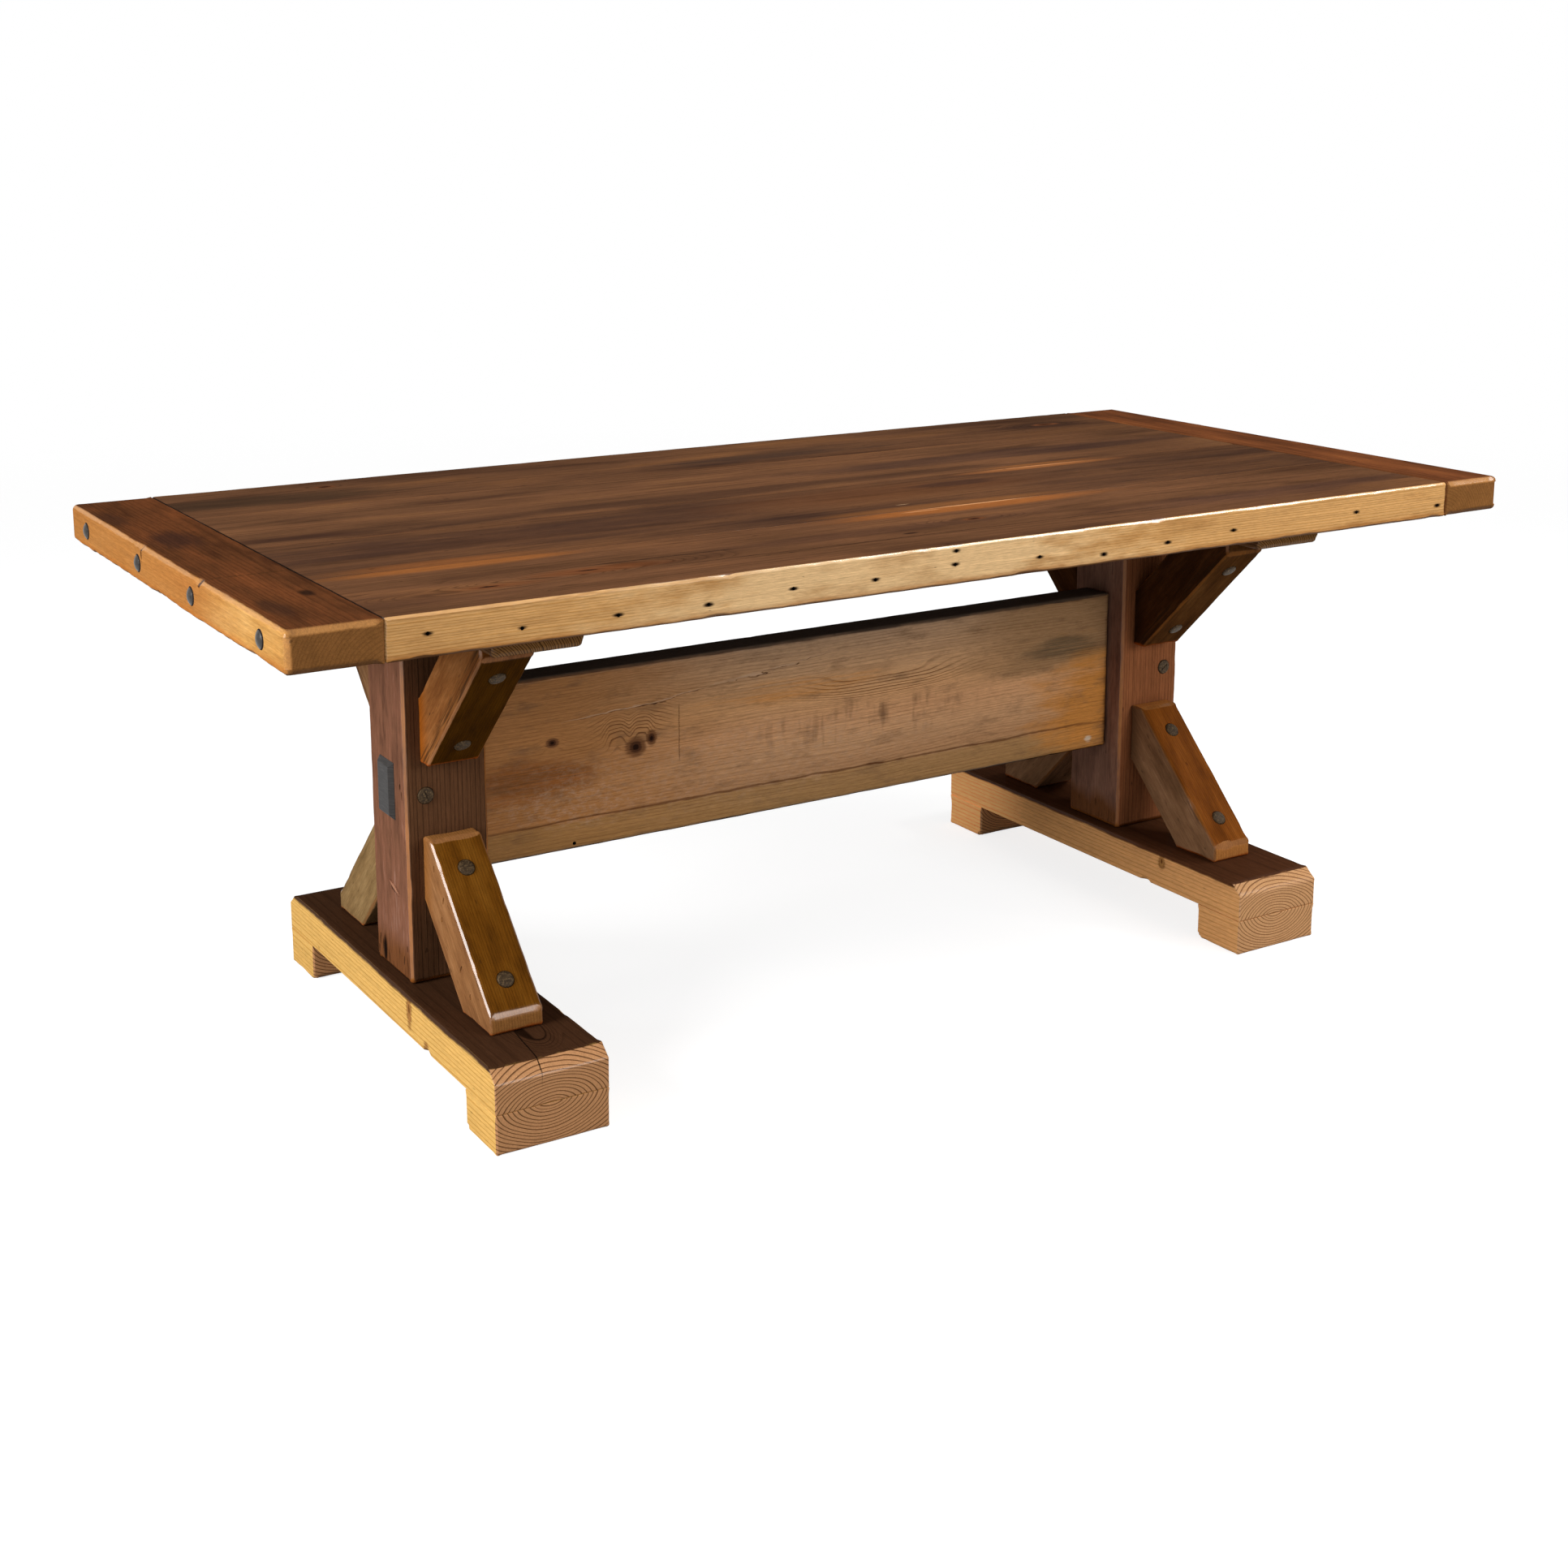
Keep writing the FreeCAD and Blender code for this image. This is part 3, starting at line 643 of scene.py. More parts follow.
for seed, side in ((21, "left"), (22, "right")):
    low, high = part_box("post_" + side)
    low = Vector((low.x, low.y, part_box("foot_beam_" + side)[1].z))
    high = Vector((high.x, high.y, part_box("bearer_" + side)[0].z))

    def post_rim(corner):
        return post_rim_share if meets(corner.z, low.z) else 1.0
    post = weather(block(low, high), post_arris, 0.22, 1.6, seed, 0.009, post_rim, trestle_polish)
    pins = [Vector((place.x, low.y, place.z)) for place in heads("stretcher_pin_" + side, front)]
    holes = drill(bmesh.new(), pins, front, pin_recess, pin_recess_depth)
    if side == "left":
        for y, z, wide, tall, tilt in post_gouges:
            gouge(holes, Vector((low.x, y, z)), (gouge_depth, wide / 2, tall / 2), tilt)
        # The left post's front gets far deeper tones than the right's: dark stripes, and painted shade.
        front_tones = ("#60402a", "#25150c")
        side_tones = ("#53362a", "#714c39", "#7e5440", "#967160")
        # The patch round the splinter is a painted shadow below it; the other is a dark scar.
        scars_and_shadow = [((low.x * 1000, -14, 246), (0.0, 0.45, 1.5), 8, "#341f17"),
                 ((low.x * 1000, 33, 140), (0.0, 1.0, 0.4), 9, "#1c110c")]
    else:
        front_tones = ("#925a38", "#643823")
        side_tones = ("#64463a", "#805b4a", "#8c6552", "#9e7962")
        scars_and_shadow = []
    pith = (low.x - 0.30, 0.02, 0)
    skin = post_wood("old_softwood_post_" + side, pith, seed, low.z * 1000, front_tones, side_tones, scars_and_shadow)
    show(post, "post_" + side + "_timber", [skin, dark], ["post_" + side], holes)
    if side == "left":
        # One long splinter still stands off the outer face.
        turn = Matrix.Rotation(math.radians(splinter_lean), 3, "X")
        middle = Vector((low.x + splinter_root, splinter_y, splinter_z))
        outline = [middle + turn @ Vector((0, y, z)) for y, z in splinter]
        sliver = prism(outline, Vector((-splinter_lift, 0, 0)))
        ease(sliver, sliver.edges, splinter_ease, 2)
        skin = post_wood("old_softwood_splinter", pith, seed, low.z * 1000, front_tones, splinter_tones, [])
        show(sliver, "post_left_splinter", [skin], [])


# Stretcher: one deep plank on edge joins the two posts, with a tenon through each post whose end
# stands out, bevelled and stained dark. Planed, with knots and long cracks; grime and painted shade darken
# the upper edge.

stretcher_arris = 0.006
stretcher_ring_mm = 5.2
tenon_bevel = 0.0065
tenon_ease = 0.0006
tenon_reach = 0.0068
old_hole_x = -0.439
old_hole_up = 0.010
old_hole_diameter = 0.0058
old_hole_depth = 0.012
low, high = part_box("stretcher")
shoulder_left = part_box("post_left")[1].x
shoulder_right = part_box("post_right")[0].x
plank_low = Vector((shoulder_left, low.y, low.z))
plank_high = Vector((shoulder_right, high.y, high.z))
plank = weather(block(plank_low, plank_high), stretcher_arris, 0.25, 1.2, 31, 0.011)
old_hole = Vector((old_hole_x, plank_low.y, plank_low.z + old_hole_up))
holes = drill(bmesh.new(), [old_hole], front, old_hole_diameter, old_hole_depth)
face_y = plank_low.y * 1000
bottom_mm = plank_low.z * 1000
top_edge_mm = plank_high.z * 1000
shake_mm = bottom_mm + 47
arcs_mm = bottom_mm + 197
scratch_x = -258
right = Vector((1, 0, 0))
split_slope = 0.0926
# Knots, each by its place along and up from the lower edge in mm, its squash along and up, the size of
# its core, and how far it lifts the rings, over what reach.
knots = [(-333, 143, 0.85, 1.0, 9, 0, 10), (-472, 171, 0.7, 1.0, 4.5, -7, 18),
         (-306, 153, 0.9, 0.7, 5, 0, 10), (-340, 199, 0.75, 1.0, 0.1, -15, 62),
         (-367, 175, 1.0, 0.6, 0.1, -9, 22), (-322, 177, 1.0, 0.6, 0.1, -9, 20),
         (120, 181, 0.17, 1.0, 0.1, 17, 32)]
knots = [((x, face_y, bottom_mm + up), (along, 0.0, tall), *rest) for x, up, along, tall, *rest in knots]
# Waxed old pine: grey-brown, warmer towards the ends, fine level lines that swing round the knots.
grown = wood("waxed_stretcher_plank", (0.0, 0.0, 0.0), (0, 0.05, 0.12), stretcher_ring_mm, 26, 3, knots,
             (480, 160), 0.6)
tree = grown.tree


def patch(x, up, squash, size, waver=None):
    # A soft place on the plank's face, by its place along and its height above the lower edge.
    return spot(grown, (x, face_y, bottom_mm + up), (squash, 0.0, 1.0), size, waver or grown.blotch)


level = add(tree, "SeparateXYZ", {0: grown.place}, out="Z")
level = add(tree, "Math", {0: grown.blotch, 1: 36.0, 2: level}, operation="MULTIPLY_ADD")
level = add(tree, "MapRange", {"Value": level, "From Min": bottom_mm + 18, "From Max": top_edge_mm + 18})
colour = add(tree, "ValToRGB", {"Fac": level}, stops=(
    (0.0, "#9c7550"), (0.15, "#b88c64"), (0.2, "#b5875f"), (0.34, "#cb9b70"), (0.5, "#d6a072"),
    (0.64, "#daa573"), (0.78, "#d0a277"), (1.0, "#b99676")))
near_end = beyond(grown, left, 260.0, 210.0, 160.0)
# Painted shade: where the right end meets the upper part, the face turns a greyer, darker brown.
shaded_far_end = beyond(grown, right, 320.0, 120.0, 160.0)
lowest = beyond(grown, down, 2 - shake_mm, 2.5, 13.0)
upper = beyond(grown, upward, bottom_mm + 153, 22.0, 50.0)
orange = patch(575, 71, 0.8, 118)
streaks = add(tree, "MapRange", {"Value": grown.lines, "From Min": 0.35, "From Max": 0.58})
grime = patch(500, 187, 0.24, 22)
ember = patch(-520, 117, 0.3, 36)
striped = tinted(tree, "#b2672f", streaks, "#63391d")
colour = tinted(tree, colour, (near_end, 0.9), "#af7745", (lowest, 0.6), "#a57d4b",
                (shaded_far_end, upper), "#a67f59", orange, "#c98643", (grime, streaks, 0.8), "#4d4637",
                (ember, 0.7), striped)
ring_share = add(tree, "MapRange", {"Value": grown.blotch, "From Min": 0.35, "From Max": 0.65,
                                    "To Min": 0.1, "To Max": 0.42})
arcs_end = beyond(grown, down, -arcs_mm, 9.0, 16.0)
for swirl in grown.swirls[3:]:
    swirl = add(tree, "Math", {0: swirl, 1: arcs_end}, operation="MULTIPLY")
    ring_share = add(tree, "Math", {0: ring_share, 1: swirl}, operation="MAXIMUM")
warm = patch(-40, 193, 0.14, 22)
rub = flecks(tree, grown.place, (22, None, 80), 2.0, 0.5, 0.5, 0.68, 0.75)
rubbed = patch(90, 125, 0.16, 36)
scuff = flecks(tree, grown.place, (14, None, 7), 5.0, 0.75, 0.45, 0.75, 0.7)
lower = add(tree, "Math", {0: patch(-200, 91, 0.14, 70), 1: 0.6}, operation="MULTIPLY")
lower = add(tree, "Math", {0: lower, 1: patch(-450, 75, 0.26, 38)}, operation="MAXIMUM")
soot = flecks(tree, grown.place, (70, None, 24), 5.0, 0.65, 0.53, 0.72, 0.6)
scratch = crack(grown, right, scratch_x, 1.6, Vector((scratch_x, 0, bottom_mm + 106)),
                Vector((scratch_x, 0, bottom_mm + 203)), 3.0, grown.lines)
colour = tinted(tree, colour, (ring_share, grown.late), "#6e4629", (warm, streaks, 0.6), "#cc863f",
                (rub, rubbed), "#6f4e36", (scuff, lower), "#c0a086", soot, "#765941",
                (scratch, grown.fibre), "#3f2819")
for core in grown.cores[:3]:
    for share, tone in zip(core, ("#7c5335", "#513322", "#2a1912")):
        colour = tinted(tree, colour, share, tone)
# A long split: a dark line in it, with a pale line along its upper lip that is a painted highlight.
for up, width, tone in ((240.5, 1.8, "#c9a382"), (238.6, 0.8, "#4a3020")):
    split = crack(grown, Vector((-split_slope, 0, 1)), bottom_mm + up, width,
                  Vector((-460, 0, bottom_mm + 198)), Vector((30, 0, bottom_mm + 243)), 34.0)
    colour = tinted(tree, colour, (split, streaks), tone)
shake = crack(grown, upward, shake_mm, 2.6, Vector((-640, 0, shake_mm)), Vector((640, 0, shake_mm)), 13.0)
broken = add(tree, "MapRange", {"Value": soot, "To Min": 0.75, "To Max": 1.2})
# Painted shadow: the face darkens where it meets the right post.
shoulder_shadow = beyond(grown, right, plank_high.x * 1000 - 7, 5.0, 12.0)
dent = patch(550, 19, 0.7, 6, grown.fibre)
nibbled = beyond(grown, down, -bottom_mm - 2.0, 1.5, 9.0)
# Grime and painted shade: the upper face is given a dark grey-brown.
tops = facing(grown, upward, 0.5, 0.8)
colour = tinted(tree, colour, (shake, broken), "#5f3a22", (shoulder_shadow, 0.7), "#3a2413", dent, "#d9c0a4",
                nibbled, "#2e1c10", tops, "#54483e")
skin = waxed(grown, colour, 0.45, 0.4, 0.13, 0.45)
show(plank, "stretcher_plank", [skin, dark], ["stretcher"], holes)

corners = [vert.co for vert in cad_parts["stretcher"].data.vertices]
shown_end = [corner for corner in corners if corner.x < low.x + tenon_reach]
ends_y = [corner.y for corner in shown_end]
ends_z = [corner.z for corner in shown_end]
tenon_low = Vector((low.x, min(ends_y), min(ends_z)))
tenon_high = Vector((shoulder_left, max(ends_y), max(ends_z)))
# Stained end grain: charcoal, with slanting saw marks, and bevels painted lighter than the flat end as a
# highlight.
stained, tree = fresh("stained_tenon_end")
place = add(tree, "TexCoord", {}, out="Object")
saw = add(tree, "Mapping", {"Vector": place, "Rotation": (math.radians(35), 0.0, 0.0),
                            "Scale": (1.0, 60.0, 420.0)})
saw = add(tree, "TexNoise", {"Vector": saw, "Scale": 1.0, "Detail": 3.0})
colour = add(tree, "ValToRGB", {"Fac": saw}, stops=((0.3, "#272422"), (0.55, "#34302e"), (0.75, "#45403d")))
# Painted highlight: the flat end, which looks straight along X, is made darker than the bevels.
normal = add(tree, "NewGeometry", {}, out="Normal")
level = add(tree, "SeparateXYZ", {0: normal}, out="X")
level = add(tree, "Math", {0: level}, operation="ABSOLUTE")
colour = shaded(tree, colour, level, 0.8, 0.5, 0.9, 0.99)
bump = add(tree, "Bump", {"Height": saw, "Strength": 0.5, "Distance": 0.0006})
surface = add(tree, "BsdfPrincipled", {"Base Color": colour, "Roughness": 0.5, "Normal": bump,
                                       "Specular IOR Level": 0.2})
add(tree, "OutputMaterial", {"Surface": surface})
for side, mirror in (("left", 1), ("right", -1)):
    ends = sorted((tenon_low.x * mirror, tenon_high.x * mirror))
    tenon = block(Vector((ends[0], tenon_low.y, tenon_low.z)), Vector((ends[1], tenon_high.y, tenon_high.z)))
    outer = [edge for edge in tenon.edges if all(meets(vert.co.x * mirror, low.x) for vert in edge.verts)]
    ease(tenon, outer, tenon_bevel, 1)
    ease(tenon, tenon.edges, tenon_ease, 2)
    show(tenon, "tenon_end_" + side, [stained], [])


# Stretcher pins: one slotted round head in each post's front face pins the tenon inside.
# Aged iron, brown-grey, let into a shallow recess.

def turned(profile, places, outward, mesh=None):
    # A turned head from its half section, radius and height, at each place.
    mesh = mesh or bmesh.new()
    turn = outward.to_track_quat("Z", "Y").to_matrix().to_4x4()
    for place in places:
        made = [mesh.verts.new((radius, 0, height)) for radius, height in profile]
        lines = [mesh.edges.new(pair) for pair in zip(made, made[1:])]
        bmesh.ops.spin(mesh, geom=made + lines, axis=(0, 0, 1), cent=(0, 0, 0), angle=math.tau, steps=40,
                       use_merge=True)
        bmesh.ops.remove_doubles(mesh, verts=[vert for vert in mesh.verts if not vert.tag], dist=1e-6)
        head = [vert for vert in mesh.verts if not vert.tag]
        bmesh.ops.transform(mesh, matrix=Matrix.Translation(place) @ turn, verts=head)
        for vert in head:
            vert.tag = True
    bmesh.ops.recalc_face_normals(mesh, faces=mesh.faces)
    return mesh


# Aged iron: mottled dark brown-grey that catches light at the rim.
iron = mottled("aged_iron", (330.0, 330.0, 330.0), ("#22180f", "#463624", "#776144"), 0.2, 0.55, 0.6, 0.15)

pin_profile = ((0.0, 0.0), (0.0095, -0.0001), (0.0112, -0.0006), (0.012, -0.0018), (0.012, -0.006),
               (0.0, -0.006))
slot_half = Vector((0.008, 0.0012, 0.0011))
for side, tilt in (("left", 70), ("right", -35)):
    places = heads("stretcher_pin_" + side, front)
    slot = block(-slot_half, slot_half)
    turn = Matrix.Rotation(math.radians(tilt), 4, "Y")
    bmesh.ops.transform(slot, matrix=Matrix.Translation(places[0]) @ turn, verts=slot.verts)
    pin = turned(pin_profile, places, front)
    show(pin, "pin_head_" + side, [iron], ["stretcher_pin_" + side], slot)


# Bearers: a flat cleat lies across each post's head and is screwed up into the planks.
# Sawn softwood with cream and brown striped ends and a well rounded lower edge.

bearer_arris = 0.005
bearer_round_share = 1.6
bearer_tight_share = 0.4
bearer_ring_mm = 3.2
for seed, side in ((41, "left"), (42, "right")):
    node = "bearer_" + side
    low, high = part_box(node)

    def bearer_round(corner):
        return bearer_round_share if meets(corner.z, low.z) else bearer_tight_share
    cleat = weather(block(low, high), bearer_arris, 0.2, 0.8, seed, 0.012, bearer_round)
    holes = screw_holes(heads("bearer_screws_" + side, down), low.z)
    # Sawn pine: plain brown faces, ends striped cream and brown by the rings.
    grown = wood("sawn_bearer_" + side, grain_y, (low.x - 0.05, 0, low.z - 0.07), bearer_ring_mm, 6, seed)
    tree = grown.tree
    sides = tinted(tree, "#6e4c30", grown.late, "#4b301c")
    end = tinted(tree, "#8d6338", grown.late, "#3f2812")
    ends = facing(grown, back, 0.3, 0.5, both=True)
    skin = waxed(grown, tinted(tree, sides, ends, end), 0.5, 0.4, 0.12, 0.4)
    show(cleat, node + "_timber", [skin, dark], [node], holes)


# Braces: eight short timbers at 45 degrees, sawn to sit flat on post, foot and bearer.
# Waxed softwood, each held by two bolts through its sloping face, with broken and polished arrises.

brace_arris = 0.0042
brace_nose = 0.027
brace_ring_mm = 4.0
bolt_recess_diameter = 0.0256
bolt_recess_depth = 0.002
glow_mm = 20
rim_mm = 4
torn_deep_mm = {"lower": 4, "upper": 20}
brace_gouges = ((-0.105, 0.300, 0.003, 0.010, 0), (-0.135, 0.262, 0.003, 0.012, 20),
                (-0.128, 0.232, 0.004, 0.008, 0), (-0.190, 0.180, 0.003, 0.014, 30),
                (-0.220, 0.150, 0.004, 0.009, 0))


def brace_side(node):
    # The six corners of a brace's side, and the way its sloping face looks, read from its solid.
    low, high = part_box(node)
    out = -1 if node.endswith("front") else 1
    up = 1 if node.startswith("lower") else -1
    slope = Vector((0, out, up)).normalized()
    nearest = min(vert.co.dot(slope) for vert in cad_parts[node].data.vertices) * math.sqrt(2)
    post_y = low.y if out > 0 else high.y
    toe_y = high.y if out > 0 else low.y
    seat_z = low.z if up > 0 else high.z
    nose_z = high.z if up > 0 else low.z
    inner_z = (nearest - post_y * out) * up
    inner_y = (nearest - seat_z * up) * out
    corners = ((post_y, inner_z), (post_y, nose_z), (post_y + out * brace_nose, nose_z),
               (toe_y, seat_z + up * brace_nose), (toe_y, seat_z), (inner_y, seat_z))
    return [Vector((low.x, y, z)) for y, z in corners], Vector((high.x - low.x, 0, 0)), slope


def brace_wood(name, turn, pith, slope, seed, seat_mm, post_mm, torn_mm, side_tones, face_tones,
               cut_tone, glow_tone, arris_tone):
    # Waxed pine: fine lines along the sloping face, duller nicked sides, orange end cuts, bright arrises.
    grown = wood(name, turn, pith, brace_ring_mm, 7, seed, (), (400, 120), 0.5)
    tree = grown.tree
    face = add(tree, "ValToRGB", {"Fac": grown.blotch}, stops=zip((0.3, 0.5, 0.72), face_tones))
    face = shaded(tree, face, grown.late, 1.05, 0.8)
    side = add(tree, "ValToRGB", {"Fac": grown.blotch}, stops=zip((0.3, 0.5, 0.72), side_tones))
    nick = flecks(tree, grown.along, (22, 6, 6), 3.0, 0.5, 0.66, 0.76, 0.7)
    inward = (0.0, -math.copysign(1, slope.y), 0.0)
    glow = beyond(grown, inward, -post_mm - glow_mm, 20.0, 30.0)
    torn = beyond(grown, slope, torn_mm, 7.0, 40.0)
    furrow = flecks(tree, grown.along, (60, 3.2, 3.2), 3.0, 0.5, 0.47, 0.6, 0.75)
    side = tinted(tree, side, nick, "#3a2418", (glow, 0.85), glow_tone, (torn, furrow), "#3d2818")
    outward = facing(grown, slope, 0.66, 0.72, 0.05)
    nose = facing(grown, (0.0, 0.0, math.copysign(1, slope.z)), 0.8, 0.9, 0.15)
    toe = facing(grown, (0.0, math.copysign(1, slope.y), 0.0), 0.8, 0.9, 0.15)
    toe = add(tree, "Math", {0: toe, 1: 1.0 if slope.z > 0 else 0.2}, operation="MULTIPLY")
    cuts = add(tree, "Math", {0: nose, 1: toe}, operation="MAXIMUM")
    cut = shaded(tree, cut_tone, grown.late, 1.05, 0.8)
    worn = bared(grown, 0.2, 0.7)
    rim = beyond(grown, down, -seat_mm - rim_mm, 3.0, 8.0)
    colour = tinted(tree, side, outward, face, cuts, cut, worn, arris_tone, rim, "#9a4a18")
    return waxed(grown, colour, 0.4, 0.4, 0.13, 0.45)


# Each brace's tones: its side, its sloping face, its end cuts, the tone near the post and its worn arrises.
# The upper braces' sloping faces look down, and their near black tones are painted shade.
brace_tones = {
    "lower_left": (("#7a5030", "#90633d", "#a2744c"), ("#53300b", "#6b400f", "#7b4e17"),
                   "#966536", "#8f5a2a", "#a06c40"),
    "upper_left": (("#6a3d1e", "#86542c", "#9c683c"), ("#38200a", "#4a2b08", "#59360b"),
                   "#a4561c", "#8e4806", "#ad7448"),
    "lower_right": (("#765439", "#8f694a", "#a57b5a"), ("#6d3a12", "#834818", "#93541f"),
                    "#b3743b", "#5d4029", "#8a5526"),
    "upper_right": (("#331d0f", "#4a2a14", "#643d20"), ("#442812", "#573518", "#6d4723"),
                    "#4a2a12", "#2b190c", "#8f5722")}
back_sides = {"lower_left": ("#6c5334", "#866a45", "#987c54"),
              "upper_left": ("#5d4027", "#755337", "#866345")}
seed = 50
for level in ("lower", "upper"):
    for side in ("left", "right"):
        for end in ("front", "back"):
            seed += 1
            node = level + "_brace_" + side + "_" + end
            outline, run, slope = brace_side(node)
            tilt = math.radians(-45) if slope.y * slope.z < 0 else math.radians(45)
            timber = weather(prism(outline, run), brace_arris, 0.22, 1.8, seed, 0.008, None, trestle_polish)
            seats = [place - slope * slope.dot(place - outline[2])
                     for place in heads(level + "_brace_bolts_" + side, slope)]
            holes = drill(bmesh.new(), seats, slope, bolt_recess_diameter, bolt_recess_depth)
            if node == "lower_brace_left_front":
                for y, z, wide, tall, lean in brace_gouges:
                    gouge(holes, Vector((outline[0].x, y, z)), (gouge_depth, wide / 2, tall / 2), lean)
            pith = outline[2] + Vector((-0.22, 0, 0)) - slope * 0.03
            seat_mm = min(corner.z for corner in outline) * 1000
            post_mm = abs(outline[0].y) * 1000
            torn_mm = outline[2].dot(slope) * 1000 - torn_deep_mm[level]
            side_tones, *other_tones = brace_tones[level + "_" + side]
            if end == "back":
                side_tones = back_sides.get(level + "_" + side, side_tones)
            skin = brace_wood("waxed_pine_" + node, (tilt, 0.0, math.radians(-90)), pith, slope, seed,
                              seat_mm, post_mm, torn_mm, side_tones, *other_tones)
            show(timber, node + "_timber", [skin, dark], [node], holes)


# Brace bolts: sixteen round heads, two let into each brace's sloping face.
# Aged iron, flat with a rounded rim, and mottled.

bolt_profile = ((0.0, 0.0), (0.006, -0.0001), (0.0098, -0.0005), (0.0113, -0.0012), (0.012, -0.0025),
                (0.012, -0.005), (0.0, -0.005))
for level, up in (("lower", 1), ("upper", -1)):
    for side in ("left", "right"):
        node = level + "_brace_bolts_" + side
        group = bmesh.new()
        for out in (-1, 1):
            slope = Vector((0, out, up)).normalized()
            turned(bolt_profile, heads(node, slope), slope, group)
        show(group, node + "_heads", [iron], [node])


# Top planks: four wide old boards lie side by side, dowelled together and tongued into the end boards.
# Worn brown and waxed on top, golden along the fresh cut front and back edges, pierced by old nails.

plank_arris = 0.004
seam_share = 0.3
wide_seam_share = 0.7
plank_ring_mm = 3.4
nail_diameter = 0.005
nail_depth = 0.012
inner_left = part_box("breadboard_left")[1].x
inner_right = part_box("breadboard_right")[0].x
table_top = cad_high.z
top_mm = table_top * 1000
underside_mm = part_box("top_plank_1")[0].z * 1000
cut_edge_mm = cad_high.y * 1000 - 3.8
dim_end_mm = 600


def on_top(marks):
    # Sets marks on the upper face, each given by its X and Y and its squash along X and along Y.
    return [((x, y, top_mm), (along, across, 0.0), *rest) for x, y, along, across, *rest in marks]


def top_wood(name, pith, seed, ends, tones, knots, stains, nails, splits):
    # Old waxed pine: broad brown clouds, dark stains and orange rubs on top, pale gold along the edge.
    grown = wood(name, (0.0, 0.0, 0.0), pith, plank_ring_mm, 22, seed, knots, (900, 140), 0.5)
    tree = grown.tree
    cloud = cloudy(tree, grown.along, (420, 75, 75), 4.0, 0.55)
    top = add(tree, "ValToRGB", {"Fac": cloud}, stops=zip((0.28, 0.42, 0.55, 0.72), tones))
    ring_share = add(tree, "MapRange", {"Value": grown.blotch, "From Min": 0.35, "From Max": 0.7})
    for swirl in grown.swirls:
        ring_share = add(tree, "Math", {0: ring_share, 1: swirl}, operation="MAXIMUM")
    ring_share = add(tree, "Math", {0: ring_share, 1: grown.late}, operation="MULTIPLY")
    top = shaded(tree, top, ring_share, 1.05, 0.6)
    feather = add(tree, "Math", {0: grown.lines, 1: 0.4, 2: cloud}, operation="MULTIPLY_ADD")
    feather = add(tree, "Math", {0: feather, 1: 0.2}, operation="SUBTRACT")
    for middle, squash, size, tone, share in stains:
        top = tinted(tree, top, (spot(grown, middle, squash, size, feather), share), tone)
    # Painted shade: the top grows darker towards its right end.
    shaded_far_end = beyond(grown, right, dim_end_mm, 190.0, 200.0, cloud)
    top = shaded(tree, top, shaded_far_end, 1.0, 0.74)
    for core in grown.cores:
        for share, tone in zip(core, ("#6b3f26", "#3d2315", "#20120b")):
            top = tinted(tree, top, share, tone)
    for line in splits:
        top = tinted(tree, top, crack(grown, *line, 9.0), "#1c0f0a")
    for direction, level, share, seam_tone in ends:
        seam = beyond(grown, direction, level, 0.7, 1.2, grown.fibre)
        top = tinted(tree, top, (seam, share), seam_tone)
    # Painted light: the middle stretch of the front and back edges is made paler.
    pale = spot(grown, (-160, 0, 0), (0.3, 0.0, 0.0), 130, grown.blotch)
    smudge = add(tree, "MapRange", {"Value": grown.blotch, "From Min": 0.5, "From Max": 0.8, "To Max": 0.7})
    under = beyond(grown, down, -underside_mm - 7, 5.0, 16.0)
    edge = tinted(tree, "#d7a468", grown.late, "#c08c4f", (pale, 0.8), "#ecc692", smudge, "#a3713d",
                  (under, 0.6), "#a5672f")
    for nail in nails:
        halo = spot(grown, nail * 1000, (0.36, 0.0, 1.0), 3.2, grown.lines)
        edge = tinted(tree, edge, halo, "#2b1c12")
    fronts = beyond(grown, front, cut_edge_mm, 0.7, 2.0)
    backs = beyond(grown, back, cut_edge_mm, 0.7, 2.0)
    fronts = add(tree, "Math", {0: fronts, 1: backs}, operation="MAXIMUM")
    below = facing(grown, down, 0.5, 0.8)
    colour = tinted(tree, top, fronts, edge, below, "#5f4029")
    return waxed(grown, colour, 0.5, 0.3, 0.12, 0.6, 0.008)


